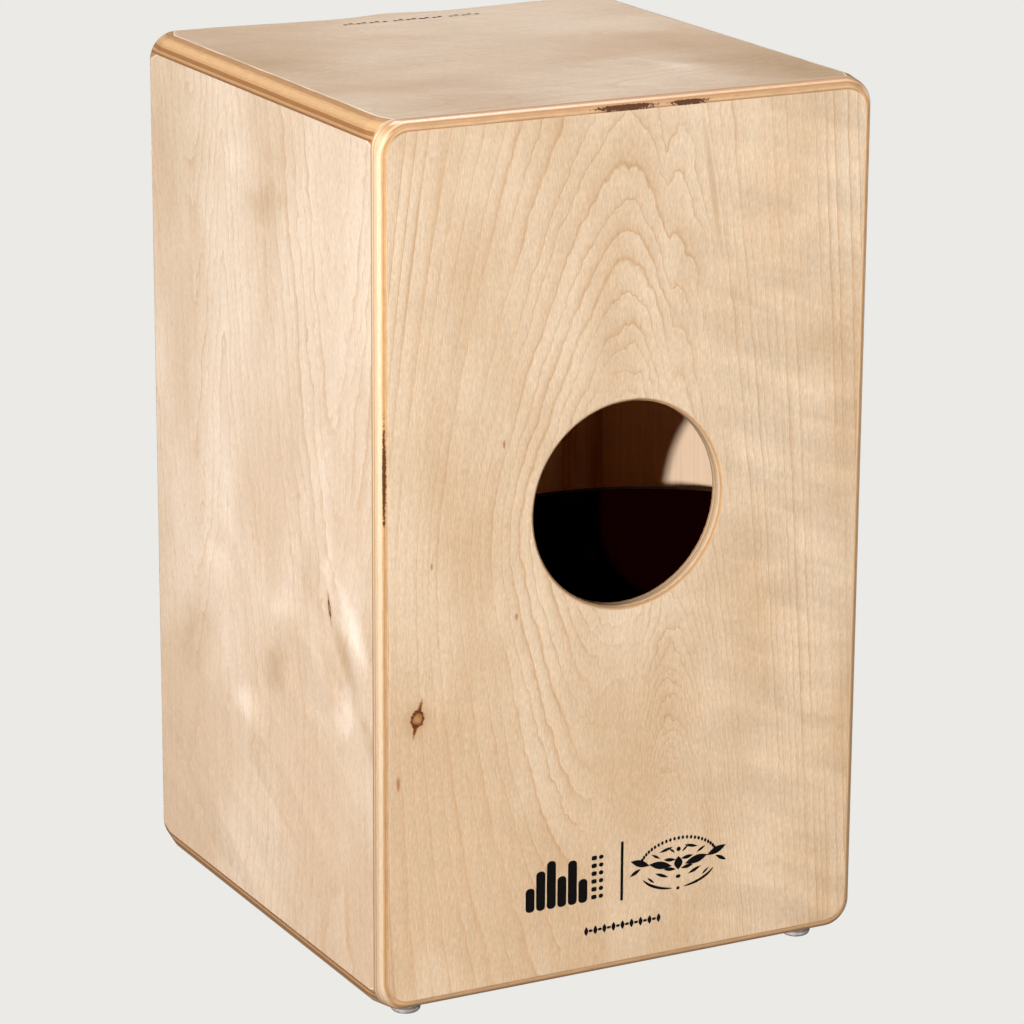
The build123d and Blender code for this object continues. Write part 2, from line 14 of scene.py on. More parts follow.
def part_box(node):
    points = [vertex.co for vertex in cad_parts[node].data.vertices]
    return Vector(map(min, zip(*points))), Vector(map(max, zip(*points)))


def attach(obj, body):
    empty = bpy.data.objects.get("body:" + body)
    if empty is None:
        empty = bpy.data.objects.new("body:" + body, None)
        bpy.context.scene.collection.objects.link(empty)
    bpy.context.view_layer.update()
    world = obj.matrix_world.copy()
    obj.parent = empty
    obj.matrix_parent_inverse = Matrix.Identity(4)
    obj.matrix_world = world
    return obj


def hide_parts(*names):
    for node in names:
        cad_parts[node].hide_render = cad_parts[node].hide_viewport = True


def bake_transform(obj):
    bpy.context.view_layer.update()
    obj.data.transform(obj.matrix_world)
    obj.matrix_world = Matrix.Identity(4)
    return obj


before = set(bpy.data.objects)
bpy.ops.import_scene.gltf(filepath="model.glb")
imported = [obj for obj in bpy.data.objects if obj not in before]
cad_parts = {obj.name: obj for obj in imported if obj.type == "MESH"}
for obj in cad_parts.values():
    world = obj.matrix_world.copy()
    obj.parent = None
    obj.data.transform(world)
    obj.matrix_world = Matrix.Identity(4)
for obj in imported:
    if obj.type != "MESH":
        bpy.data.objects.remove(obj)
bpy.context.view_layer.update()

MM = 0.001
back_low, back_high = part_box("back_panel")
WIDTH = back_high.x - back_low.x
BACK_Y = back_low.y
FRONT_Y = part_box("tapa")[1].y
BODY_BOTTOM_Z = back_low.z
TOP_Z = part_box("seat_panel")[1].z
SIDE_X = WIDTH / 2
BODY = "box"


# ---- node trees, written as arithmetic ----------------------------------------------


def linear(r, g, b):
    """A colour given as 0 to 255 sRGB screen values, as the linear RGBA that Blender uses."""
    channels = []
    for value in (r, g, b):
        share = value / 255
        if share <= 0.04045:
            channels.append(share / 12.92)
        else:
            channels.append(((share + 0.055) / 1.055) ** 2.4)
    return (*channels, 1.0)


# the sockets of a Mix node that are used when it mixes colours
MIX_FACTOR = 0
MIX_FIRST = 6
MIX_SECOND = 7
MIX_RESULT = 2


class Shader:
    """A material whose nodes are added by short calls; most calls give an output socket."""

    def __init__(self, name, **settings):
        self.material = bpy.data.materials.new(name)
        self.material.use_nodes = True
        self.tree = self.material.node_tree
        self.bsdf = self.tree.nodes["Principled BSDF"]
        for socket, value in settings.items():
            self.bsdf.inputs[socket.replace("_", " ")].default_value = value
        self.where = self.node("ShaderNodeTexCoord").outputs["Object"]
        split = self.node("ShaderNodeSeparateXYZ", {0: self.where})
        self.x, self.y, self.z = split.outputs

    def node(self, kind, inputs=None, **properties):
        """Adds a node; an input is linked if it is a socket, and set if it is a value."""
        made = self.tree.nodes.new(kind)
        for key, value in properties.items():
            setattr(made, key, value)
        for key, value in (inputs or {}).items():
            if isinstance(value, bpy.types.NodeSocket):
                self.tree.links.new(value, made.inputs[key])
            else:
                made.inputs[key].default_value = value
        return made

    def math(self, operation, *values, clamp=False):
        inputs = dict(enumerate(values))
        return self.node("ShaderNodeMath", inputs, operation=operation, use_clamp=clamp).outputs[0]

    def add(self, a, b):
        return self.math("ADD", a, b)

    def sub(self, a, b):
        return self.math("SUBTRACT", a, b)

    def mul(self, a, b):
        return self.math("MULTIPLY", a, b)

    def vector(self, x, y, z):
        return self.node("ShaderNodeCombineXYZ", {0: x, 1: y, 2: z}).outputs[0]

    def noise(self, vector, scale, detail=3.0, roughness=0.5, distortion=0.0):
        inputs = {
            "Vector": vector,
            "Scale": scale,
            "Detail": detail,
            "Roughness": roughness,
            "Distortion": distortion,
        }
        return self.node("ShaderNodeTexNoise", inputs).outputs["Fac"]

    def ramp(self, factor, stops, interpolation="LINEAR"):
        """Colours or greys along a 0 to 1 factor; stops are (place, colour or grey)."""
        made = self.node("ShaderNodeValToRGB", {0: factor})
        ramp = made.color_ramp
        ramp.interpolation = interpolation
        while len(ramp.elements) < len(stops):
            ramp.elements.new(1.0)
        for element, (place, colour) in zip(ramp.elements, stops):
            element.position = place
            element.color = colour if isinstance(colour, tuple) else (colour,) * 3 + (1.0,)
        return made.outputs["Color"]

    def step(self, value, low, high, first=0.0, last=1.0):
        """Rises smoothly from first to last as value goes from low to high."""
        inputs = {0: value, 1: low, 2: high, 3: first, 4: last}
        return self.node("ShaderNodeMapRange", inputs, interpolation_type="SMOOTHSTEP").outputs[0]

    def mix(self, factor, a, b, blend="MIX"):
        """Colour a where factor is 0, and colour b (or a blended with b) where it is 1."""
        inputs = {MIX_FACTOR: factor, MIX_FIRST: a, MIX_SECOND: b}
        made = self.node("ShaderNodeMix", inputs, data_type="RGBA", blend_type=blend)
        return made.outputs[MIX_RESULT]

    def brightness(self, colour, factor):
        """A colour times a grey factor."""
        return self.mix(1.0, colour, self.vector(factor, factor, factor), "MULTIPLY")

    def shade(self, colour, texture, spread, darkest, lightest):
        """Darkens and lightens a colour as a texture goes from 0.5 - spread to 0.5 + spread."""
        factor = self.step(texture, 0.5 - spread, 0.5 + spread, darkest, lightest)
        return self.brightness(colour, factor)

    def grain(self, across, along, seed, stretch, scale, detail=2.0, roughness=0.5):
        """Noise drawn out along the grain: the smaller stretch is, the longer its streaks."""
        place = self.vector(across, self.mul(along, stretch), seed)
        return self.noise(place, scale, detail, roughness)

    def bump(self, height, distance, strength=1.0):
        """Raises the surface where height is 1, by a distance in metres."""
        inputs = {"Height": height, "Distance": distance, "Strength": strength}
        normal = self.node("ShaderNodeBump", inputs).outputs[0]
        self.tree.links.new(normal, self.bsdf.inputs["Normal"])

    def use(self, socket, value):
        """Links a value to a socket of the surface shader."""
        self.tree.links.new(value, self.bsdf.inputs[socket])


# ---- wood -----------------------------------------------------------------------------

LACQUER = dict(Roughness=0.42, Coat_Weight=0.45, Coat_Roughness=0.17, IOR=1.48)

VENEER_LIGHT = linear(235, 209, 178)
VENEER_TAN = linear(216, 183, 147)
GROWTH_LINE = linear(196, 147, 98)
STREAK_BROWN = linear(188, 142, 98)
KNOT_BROWN = linear(168, 104, 52)
KNOT_DARK = linear(78, 34, 12)
VOID_DARK = linear(66, 26, 6)
INNER_FACE = linear(253, 221, 187)


def hump(s, value, roundness):
    """The distance from 0, rounded off near it: sqrt(value^2 + roundness^2) - roundness."""
    squares = s.add(s.mul(value, value), roundness * roundness)
    return s.sub(s.math("SQRT", squares), roundness)


def ellipse(s, place, centre, size, tilt=0.0):
    """How many radii a place (across, along, 0) lies from a centre; tilt is in degrees."""
    inputs = {
        "Vector": place,
        "Location": (*centre, 0.0),
        "Rotation": (0.0, 0.0, math.radians(tilt)),
        "Scale": (*size, 1.0),
    }
    moved = s.node("ShaderNodeMapping", inputs, vector_type="TEXTURE").outputs[0]
    return s.node("ShaderNodeVectorMath", {0: moved}, operation="LENGTH").outputs["Value"]


def arched_field(s, across, along, axes, turn, slope, roundness, merge):
    """Growth layers cut so that they arch about several axes along the board.

    An axis is (across, offset).  The arches open away from along = turn.  The field is in metres.
    """
    sides = None
    for axis, offset in axes:
        cone = s.add(s.mul(hump(s, s.sub(across, axis), roundness), slope), offset)
        sides = cone if sides is None else s.math("SMOOTH_MIN", sides, cone, merge)
    reach = hump(s, s.sub(along, turn), 0.03)
    return s.sub(sides, reach)


def swings(s, across, along, seed, slow_size, quick_size):
    """Slow and quick unevenness, in metres, that keeps growth lines from looking ruled."""
    slow = s.grain(across, along, seed, stretch=0.40, scale=15.0, roughness=0.45)
    quick = s.grain(across, along, seed + 3, stretch=0.60, scale=95.0, roughness=0.55)
    return s.add(s.mul(s.sub(slow, 0.5), slow_size), s.mul(s.sub(quick, 0.5), quick_size))


# how strongly a growth line shows, from one line (0) to the next (1)
LINE_STOPS = [
    (0.0, 0.9),
    (0.05, 0.62),
    (0.12, 0.32),
    (0.30, 0.14),
    (0.60, 0.0),
    (0.94, 0.0),
    (1.0, 0.9),
]
FINE_LINE_STOPS = [(0.0, 1.0), (0.12, 0.45), (0.5, 0.0), (0.92, 0.0), (1.0, 1.0)]
PALE_EDGE_STOPS = [(0.0, 0.0), (0.80, 0.0), (0.95, 1.0), (1.0, 0.0)]
FINE_LINES_PER_LINE = 3.37
LINE_SPACING_JITTER = 1.4
LINE_SHOWN = 0.72
FINE_LINE_SHOWN = 0.60
PALE_EDGE_SHOWN = 0.03


def veneer(s, lines, across, along, seed, line_strength=1.0, painted_low_shade=None, bold=0.0):
    """Sliced birch veneer.  lines counts growth lines; gives the colour and the fibre height.

    The argument after seed is painted shade: it shifts the tone towards tan, darker and warmer, and
    where bold is 1 the growth lines show fully.
    """
    jitter = s.sub(s.noise(s.vector(lines, seed, 0.0), 0.8, 1.0), 0.5)
    count = s.add(lines, s.mul(jitter, LINE_SPACING_JITTER))
    ring = s.math("FRACT", count)
    line = s.ramp(ring, LINE_STOPS)
    fine = s.math("FRACT", s.mul(count, FINE_LINES_PER_LINE))
    fine_line = s.ramp(fine, FINE_LINE_STOPS)
    pale_edge = s.ramp(ring, PALE_EDGE_STOPS)
    clear_parts = s.grain(across, along, seed, stretch=0.16, scale=26.0, detail=3.0, roughness=0.6)
    strength = s.math("MAXIMUM", s.step(clear_parts, 0.34, 0.66, 0.22, 1.0), bold)
    fine_parts = s.grain(across, along, seed, stretch=0.16, scale=31.0)
    fine_strength = s.step(fine_parts, 0.45, 0.75, 0.0, 0.34)
    streak = s.grain(across, along, seed + 7, stretch=0.05, scale=300.0, detail=3.0, roughness=0.65)
    fibre = s.grain(across, along, seed + 9, stretch=0.10, scale=1500.0, roughness=0.65)
    fleck = s.grain(across, along, seed + 10, stretch=0.34, scale=900.0, roughness=0.6)
    blotch = s.grain(across, along, seed + 11, stretch=0.45, scale=13.0, detail=3.0, roughness=0.55)
    tone = s.step(blotch, 0.30, 0.70, 0.0, 0.92)
    # painted shade: a darker, warmer tone where it is raised
    if painted_low_shade is not None:
        tone = s.math("ADD", tone, painted_low_shade, clamp=True)
    colour = s.mix(tone, VENEER_LIGHT, VENEER_TAN)
    colour = s.brightness(colour, s.add(1.0, s.mul(pale_edge, PALE_EDGE_SHOWN)))
    shown = s.mul(s.mul(line, strength), LINE_SHOWN * line_strength)
    colour = s.mix(shown, colour, GROWTH_LINE)
    shown = s.mul(s.mul(fine_line, fine_strength), FINE_LINE_SHOWN * line_strength)
    colour = s.mix(shown, colour, GROWTH_LINE)
    colour = s.shade(colour, streak, 0.28, 0.955, 1.04)
    colour = s.shade(colour, fibre, 0.30, 0.90, 1.095)
    colour = s.shade(colour, fleck, 0.30, 0.92, 1.08)
    return colour, fibre


def painted_curl_sheen(s, colour, across, along, seed, mask, amount, slant=0.35):
    """Painted sheen: silky lighter and darker bands across the grain, painted into the colour where
    mask is 1.
    """
    leaning = s.add(along, s.mul(across, slant))
    bands = s.noise(s.vector(s.mul(across, 0.30), leaning, seed), 58.0, 2.0, 0.55, 0.5)
    swing = s.mul(s.sub(s.step(bands, 0.28, 0.72), 0.5), mask)
    return s.brightness(colour, s.add(1.0, s.mul(swing, amount)))


# painted shade goes golden as it goes dark, and a painted glint goes white: shares for red, green
# and blue
PAINTED_SHEEN_SHARES = (0.85, 1.10, 1.55)


def painted_sheen_patches(s, colour, place, painted_light_patches):
    """Painted sheen and painted shade: lighter and darker patches painted into the colour, for
    glints and dull parts where the fibres dip, and for uneven light.

    A patch is (centre, size, tilt, amount).
    """
    total = 0.0
    for centre, size, tilt, amount in painted_light_patches:
        fade = s.step(ellipse(s, place, centre, size, tilt), 0.0, 1.0, amount, 0.0)
        total = s.add(total, fade)
    channels = [s.add(1.0, s.mul(total, share)) for share in PAINTED_SHEEN_SHARES]
    return s.mix(1.0, colour, s.vector(*channels), "MULTIPLY")


def flecks(s, colour, place, spots):
    """Short brown bark marks along the grain: (centre, size)."""
    for centre, size in spots:
        mark = s.step(ellipse(s, place, centre, size), 0.3, 1.0, 0.75, 0.0)
        colour = s.mix(mark, colour, KNOT_BROWN)
    return colour


def knot(s, colour, place, centre, size, tilt=0.0):
    """A pin knot: a dark ragged ring round a brown heart, with dark tails along the grain."""
    ragged = s.sub(s.noise(place, 520.0, 3.0, 0.65), 0.5)
    reach = s.add(ellipse(s, place, centre, size, tilt), ragged)
    tail_size = (size[0] * 0.42, size[1] * 2.7)
    tail_reach = s.add(ellipse(s, place, centre, tail_size, tilt), s.mul(ragged, 0.7))
    halo_size = (size[0] * 3.4, size[1] * 3.2)
    halo = s.step(ellipse(s, place, centre, halo_size, tilt), 0.15, 1.0, 0.50, 0.0)
    colour = s.mix(halo, colour, STREAK_BROWN)
    colour = s.mix(s.step(tail_reach, 0.7, 1.1, 0.9, 0.0), colour, KNOT_BROWN)
    colour = s.mix(s.step(tail_reach, 0.5, 0.9, 0.8, 0.0), colour, KNOT_DARK)
    body = s.step(reach, 0.95, 1.25, 0.85, 0.0)
    colour = s.mix(body, colour, KNOT_BROWN)
    heart = s.step(reach, 0.25, 0.60, 0.75, 0.0)
    colour = s.mix(heart, colour, STREAK_BROWN)
    ring = s.mul(s.step(reach, 0.55, 0.85), s.step(reach, 1.0, 1.25, 1.0, 0.0))
    return s.mix(s.mul(ring, 0.85), colour, KNOT_DARK)


# ---- plywood edges ----------------------------------------------------------------------


def rounded_depth(s, inset, radius):
    """How deep an edge's roundover has gone below the face, at a distance in from the side."""
    left = s.math("MAXIMUM", s.sub(radius, inset), 0.0)
    square = s.sub(s.mul(radius, radius), s.mul(left, left))
    return s.sub(radius, s.math("SQRT", s.math("MAXIMUM", square, 0.0)))


def edge_depth(s, exact, measured):
    """The exact depth near the face, where facets would show, and the mesh's own below 4 mm.

    exact is computed from the roundover, and measured from the place on the mesh.
    """
    deep = s.step(measured, 2.5 * MM, 4.0 * MM)
    return s.add(s.mul(exact, s.sub(1.0, deep)), s.mul(measured, deep))


def ply_colour(s, depth, plies, across, along):
    """The colours of a sanded plywood edge at a depth, in metres, below the board's face.

    plies is a list of (lower edge in millimetres, colour), from the face inwards.
    """
    total = plies[-1][0]
    wander = s.sub(s.noise(s.vector(across, along, 0.0), 38.0, 2.0), 0.5)
    place = s.add(s.mul(depth, 1 / (total * MM)), s.mul(wander, 0.22 / total))
    stops = []
    previous = 0.0
    for lower, colour in plies:
        blur = min(0.10, (lower - previous) * 0.35) / total
        stops += [(previous / total + blur, colour), (lower / total - blur, colour)]
        previous = lower
    colour = s.ramp(place, stops)
    layer = s.mul(depth, 2.0)
    streaks = s.noise(s.vector(s.mul(across, 0.12), s.mul(along, 0.12), layer), 900.0, 3.0, 0.6)
    pores = s.noise(s.vector(across, along, layer), 520.0, 2.0, 0.6)
    colour = s.shade(colour, streaks, 0.30, 0.89, 1.09)
    return s.shade(colour, pores, 0.30, 0.95, 1.04)


CREAM_PLY = linear(247, 222, 190)
TAN_PLY = linear(208, 166, 122)
SAND_PLY = linear(220, 184, 142)
BROWN_PLY = linear(186, 138, 94)
GLUE_LINE = linear(120, 78, 48)

# each board's plies, as (lower edge in millimetres below the face, colour)
UPRIGHT_CREAM = linear(203, 177, 147)
UPRIGHT_TAN = linear(194, 162, 128)
UPRIGHT_ORANGE = linear(186, 144, 100)
UPRIGHT_BROWN = linear(166, 126, 86)
BACK_SIDE_PLIES = [
    (0.03, UPRIGHT_ORANGE),
    (0.09, UPRIGHT_CREAM),
    (0.50, UPRIGHT_ORANGE),
    (0.72, UPRIGHT_BROWN),
    (1.2, UPRIGHT_ORANGE),
    (3.0, UPRIGHT_CREAM),
    (5.1, UPRIGHT_TAN),
    (5.7, UPRIGHT_BROWN),
    (7.2, UPRIGHT_CREAM),
    (8.5, UPRIGHT_BROWN),
]
END_SAND = linear(214, 174, 132)
END_TAN = linear(196, 154, 112)
END_BROWN = linear(182, 137, 96)
# the last, pale band stands for the seat's veneer edge catching the light: a painted highlight
BACK_TOP_PLIES = [
    (0.10, END_BROWN),
    (0.55, END_SAND),
    (1.3, END_TAN),
    (2.1, END_BROWN),
    (3.3, END_SAND),
    (6.1, END_BROWN),
    (8.1, END_TAN),
    (8.5, CREAM_PLY),
]
BACK_BOTTOM_PLIES = [
    (0.10, BROWN_PLY),
    (0.9, TAN_PLY),
    (2.4, BROWN_PLY),
    (4.2, TAN_PLY),
    (8.25, BROWN_PLY),
    (8.5, GLUE_LINE),
]
SEAT_SAND = linear(199, 157, 111)
SEAT_TAN = linear(190, 147, 102)
SEAT_BROWN = linear(168, 124, 80)
SEAT_DEEP = linear(156, 106, 63)
SEAT_PLIES = [
    (0.06, CREAM_PLY),
    (1.4, SEAT_BROWN),
    (2.2, SEAT_TAN),
    (4.6, SEAT_SAND),
    (6.0, SEAT_TAN),
    (8.2, SEAT_DEEP),
    (9.6, SEAT_TAN),
    (10.7, SEAT_DEEP),
    (11.0, GLUE_LINE),
]
SIDE_PLIES = [
    (0.06, CREAM_PLY),
    (1.4, BROWN_PLY),
    (3.0, CREAM_PLY),
    (5.4, TAN_PLY),
    (6.8, CREAM_PLY),
    (9.2, TAN_PLY),
    (11.4, SAND_PLY),
    (12.0, INNER_FACE),
]
TAPA_PLIES = [
    (0.06, CREAM_PLY),
    (0.8, BROWN_PLY),
    (1.5, CREAM_PLY),
    (2.3, BROWN_PLY),
    (3.0, INNER_FACE),
]
VENEER_DEPTH = 0.025 * MM
LONG_EDGE_RADIUS = 10.5 * MM
CORNER_RADIUS = 18.0 * MM
CORNER_TAPER = 18.0 * MM
BACK_ROUNDOVER = 6.1 * MM
FRONT_ROUNDOVER = 5.0 * MM
HOLE_RADIUS = 57.4 * MM
HOLE_Z = 278.0 * MM
RIM_ROUNDOVER = 2.2 * MM


def under_veneer(s, figure, depth, edge):
    """The face veneer above VENEER_DEPTH, and the plies below it."""
    return s.mix(s.step(depth, VENEER_DEPTH * 0.5, VENEER_DEPTH * 1.5), figure, edge)


def long_edge_radius(s):
    """The radius of the box's long edges, which grows towards both ends."""
    past = s.sub(s.math("ABSOLUTE", s.y), WIDTH / 2 - CORNER_TAPER)
    share = s.math("MULTIPLY", past, 1 / CORNER_TAPER, clamp=True)
    return s.add(LONG_EDGE_RADIUS, s.mul(share, CORNER_RADIUS - LONG_EDGE_RADIUS))


def end_panel_insets(s):
    """For the back panel and the tapa: distances in from the sides, the ends and the outline."""
    half_height = (TOP_Z - BODY_BOTTOM_Z) / 2
    middle_z = (TOP_Z + BODY_BOTTOM_Z) / 2
    from_side = s.sub(SIDE_X, s.math("ABSOLUTE", s.x))
    from_end = s.sub(half_height, s.math("ABSOLUTE", s.sub(s.z, middle_z)))
    a = s.math("MAXIMUM", s.sub(CORNER_RADIUS, from_side), 0.0)
    b = s.math("MAXIMUM", s.sub(CORNER_RADIUS, from_end), 0.0)
    in_corner = s.sub(CORNER_RADIUS, s.math("SQRT", s.add(s.mul(a, a), s.mul(b, b))))
    nearest = s.math("MINIMUM", s.math("MINIMUM", from_side, from_end), in_corner)
    return from_side, from_end, nearest


def voids(s, colour, across, along, gaps):
    """Dark gaps in an inner ply, filled with bark-brown dust: (centre, size)."""
    crumbs = s.sub(s.noise(s.where, 700.0, 2.0, 0.6), 0.5)
    place = s.vector(across, along, 0.0)
    for centre, size in gaps:
        reach = s.add(ellipse(s, place, centre, size), s.mul(crumbs, 1.3))
        colour = s.mix(s.step(reach, 0.75, 1.05, 0.90, 0.0), colour, VOID_DARK)
    return colour


# ---- panels -------------------------------------------------------------------------------


def inner_wood(s, across, along):
    """The unlacquered inner face of a board."""
    streak = s.grain(across, along, seed=4.0, stretch=0.06, scale=260.0, detail=3.0, roughness=0.6)
    return s.shade(INNER_FACE, streak, 0.30, 0.90, 1.04)


def finished_board(s, figure, fibre, plies, depth, measured, edge, across, along):
    """Joins a board's face veneer, its edge and its inner face into the base colour."""
    thickness = plies[-1][0] * MM
    inside = s.step(measured, thickness - 0.03 * MM, thickness - 0.01 * MM)
    colour = under_veneer(s, figure, depth, edge)
    s.use("Base Color", s.mix(inside, colour, inner_wood(s, across, along)))
    s.bump(fibre, 0.05 * MM, 0.8)
    return s.material


def hole_inset(s):
    """The distance out from the wall of the sound hole."""
    up = s.sub(s.z, HOLE_Z)
    squares = s.add(s.mul(s.x, s.x), s.mul(up, up))
    return s.sub(s.math("SQRT", squares), HOLE_RADIUS)


BACK_SEED = 2.3


def back_growth(s):
    """The count of growth lines on the back: nested arches above the hole, and bowls below it."""
    arch_x = -0.003
    second_arch_x = 0.028
    turn_z = 0.27
    swing = swings(s, s.x, s.z, BACK_SEED, slow_size=0.040, quick_size=0.022)
    # the arches' axis leans below the turn, and their right flank is steeper
    below = s.math("MAXIMUM", s.sub(turn_z, s.z), 0.0)
    lean = s.add(s.mul(below, 0.1), s.mul(swing, 0.10))
    u = s.add(s.sub(s.x, arch_x), lean)
    u = s.mul(u, s.step(u, 0.004, 0.030, 1.0, 1.35))
    squared = s.mul(u, u)
    flank = s.add(s.mul(squared, 4.0), s.mul(s.mul(squared, squared), 500.0))
    crown = s.mul(hump(s, u, 0.017), 2.1)
    main = s.add(s.add(crown, flank), hump(s, s.sub(s.z, turn_z), 0.02))
    # a second, narrower arch stands to the right of the first near the top
    aside = s.sub(s.x, second_arch_x)
    cone = s.add(s.mul(hump(s, aside, 0.009), 1.7), s.mul(s.mul(aside, aside), 55.0))
    second = s.add(cone, s.sub(s.mul(s.z, 0.75), 0.136))
    field = s.add(s.math("SMOOTH_MIN", main, second, 0.004), swing)
    # the lines lie closer near the middle of the arches
    return s.mul(s.math("LOGARITHM", s.add(field, 0.1), math.e), 11.9)


def back_material():
    s = Shader("back_veneer", **LACQUER)
    place = s.vector(s.x, s.z, 0.0)
    # painted shade: lighter at the top and darker and warmer towards the bottom, for the light that
    # falls off downwards
    painted_low_shade = s.step(s.z, 0.42, 0.04, -0.10, 0.38)
    bold = s.step(ellipse(s, place, (0.0, 0.430), (0.060, 0.085)), 0.6, 1.0, 0.95, 0.0)
    figure, fibre = veneer(s, back_growth(s), s.x, s.z, BACK_SEED, 1.0, painted_low_shade, bold)
    streak = s.step(ellipse(s, place, (0.0495, 0.448), (0.0030, 0.056), 9.4), 0.3, 1.0, 0.38, 0.0)
    figure = s.mix(streak, figure, STREAK_BROWN)
    # painted sheen: silky lighter and darker bands, strongest on the right third
    right_third = s.step(s.x, 0.01, 0.10, 0.15, 1.0)
    figure = painted_curl_sheen(s, figure, s.x, s.z, 5.1, right_third, 0.15)
    # painted sheen and painted shade: lighter and darker patches on the back
    painted_light_patches = [
        ((0.122, 0.418), (0.026, 0.012), 12.0, -0.07),
        ((0.120, 0.356), (0.034, 0.010), 8.0, -0.08),
        ((0.096, 0.382), (0.030, 0.012), 15.0, 0.06),
        ((0.125, 0.325), (0.030, 0.012), 5.0, 0.05),
        ((0.110, 0.240), (0.045, 0.018), 25.0, 0.05),
        ((0.075, 0.205), (0.030, 0.013), 30.0, -0.05),
        ((-0.010, 0.480), (0.050, 0.030), 0.0, -0.05),
        ((-0.100, 0.470), (0.045, 0.040), 0.0, 0.04),
        ((-0.112, 0.186), (0.018, 0.020), 20.0, 0.06),
        ((-0.105, 0.090), (0.070, 0.110), 0.0, 0.06),
        ((0.110, 0.450), (0.060, 0.070), 0.0, 0.06),
    ]
    figure = painted_sheen_patches(s, figure, place, painted_light_patches)
    spots = [
        ((-0.076, 0.321), (0.0011, 0.0035)),
        ((-0.119, 0.259), (0.0010, 0.0030)),
        ((-0.068, 0.224), (0.0012, 0.0026)),
        ((-0.139, 0.140), (0.0016, 0.0060)),
    ]
    figure = flecks(s, figure, place, spots)
    figure = knot(s, figure, place, (-0.1275, 0.175), (0.0036, 0.0046), tilt=-14.0)

    measured = s.sub(s.y, BACK_Y)
    from_side, from_end, nearest = end_panel_insets(s)
    outline = rounded_depth(s, nearest, BACK_ROUNDOVER)
    rim = rounded_depth(s, hole_inset(s), RIM_ROUNDOVER)
    depth = edge_depth(s, s.math("MAXIMUM", outline, rim), measured)
    on_end = s.step(s.sub(from_side, from_end), -0.006, 0.006)
    at_hole = s.step(nearest, 0.03, 0.04)
    on_end = s.mul(on_end, s.sub(1.0, at_hole))
    ends = s.mix(
        s.step(s.z, 0.2, 0.3),
        ply_colour(s, depth, BACK_BOTTOM_PLIES, s.x, s.z),
        ply_colour(s, depth, BACK_TOP_PLIES, s.x, s.z),
    )
    upright = ply_colour(s, depth, BACK_SIDE_PLIES, s.x, s.z)
    # painted light: the sanded edge is painted lighter towards the top, on the right and round the
    # sound hole, for the glare and the light that falls there
    painted_edge_light = s.add(s.step(s.z, 0.05, 0.45, 0.98, 1.36), s.mul(at_hole, 0.18))
    painted_edge_light = s.add(painted_edge_light, s.step(s.x, 0.10, 0.14, 0.0, 0.45))
    edge = s.mix(on_end, s.brightness(upright, painted_edge_light), ends)
    below_top = s.add(depth, s.step(s.z, 0.3, 0.4, 1.0, 0.0))
    top_gaps = [((-0.004, 0.0006), (0.019, 0.00080)), ((0.034, 0.0005), (0.013, 0.00060))]
    edge = voids(s, edge, s.x, below_top, top_gaps)
    left_depth = s.add(depth, s.step(s.x, -0.14, -0.12, 0.0, 1.0))
    edge = voids(s, edge, left_depth, s.z, [((0.0007, 0.312), (0.00050, 0.030))])
    return finished_board(s, figure, fibre, BACK_SIDE_PLIES, depth, measured, edge, s.x, s.z)


def side_material(name, sign, axes, turn, seed, painted_light_patches, knots):
    """A side panel; sign is -1 for the left one. axes and turn are as in arched_field."""
    s = Shader(name, **LACQUER)
    place = s.vector(s.y, s.z, 0.0)
    field_per_line = 0.048
    swing = swings(s, s.y, s.z, seed, slow_size=0.170, quick_size=0.060)
    arches = arched_field(s, s.y, s.z, axes, turn, slope=5.5, roundness=0.012, merge=0.05)
    lines = s.mul(s.add(arches, swing), 1 / field_per_line)
    # painted shade: lighter at the top and darker and warmer towards the bottom, for the light that
    # falls off downwards
    painted_low_shade = s.step(s.z, 0.42, 0.06, -0.16, 0.42)
    figure, fibre = veneer(s, lines, s.y, s.z, seed, 0.75, painted_low_shade)
    # painted sheen: silky lighter and darker bands, strongest low down
    everywhere = s.step(s.noise(s.vector(s.y, s.z, seed), 7.0), 0.42, 0.65, 0.15, 1.0)
    lower = s.step(s.z, 0.30, 0.20, 0.35, 1.0)
    figure = s.mix(1.0, figure, (0.975, 0.995, 1.045, 1.0), "MULTIPLY")
    figure = painted_curl_sheen(s, figure, s.y, s.z, seed + 5, s.mul(everywhere, lower), 0.11, slant=-0.5)
    # painted sheen and painted shade: lighter and darker patches, bent by a ripple
    ripple = s.sub(s.noise(s.vector(s.y, s.z, seed + 1), 45.0, 2.0), 0.5)
    bent_place = s.vector(s.add(s.y, s.mul(ripple, 0.030)), s.add(s.z, s.mul(ripple, 0.024)), 0.0)
    figure = painted_sheen_patches(s, figure, bent_place, painted_light_patches)
    for centre, size, tilt in knots:
        figure = knot(s, figure, place, centre, size, tilt)
    measured = s.sub(SIDE_X, s.mul(s.x, sign))
    radius = long_edge_radius(s)
    from_end = s.math("MINIMUM", s.sub(TOP_Z, s.z), s.sub(s.z, BODY_BOTTOM_Z))
    rounded = rounded_depth(s, from_end, radius)
    front = rounded_depth(s, s.sub(FRONT_Y, s.y), FRONT_ROUNDOVER)
    depth = edge_depth(s, s.math("MAXIMUM", rounded, front), measured)
    edge = ply_colour(s, depth, SIDE_PLIES, s.y, s.z)
    return finished_board(s, figure, fibre, SIDE_PLIES, depth, measured, edge, s.y, s.z)


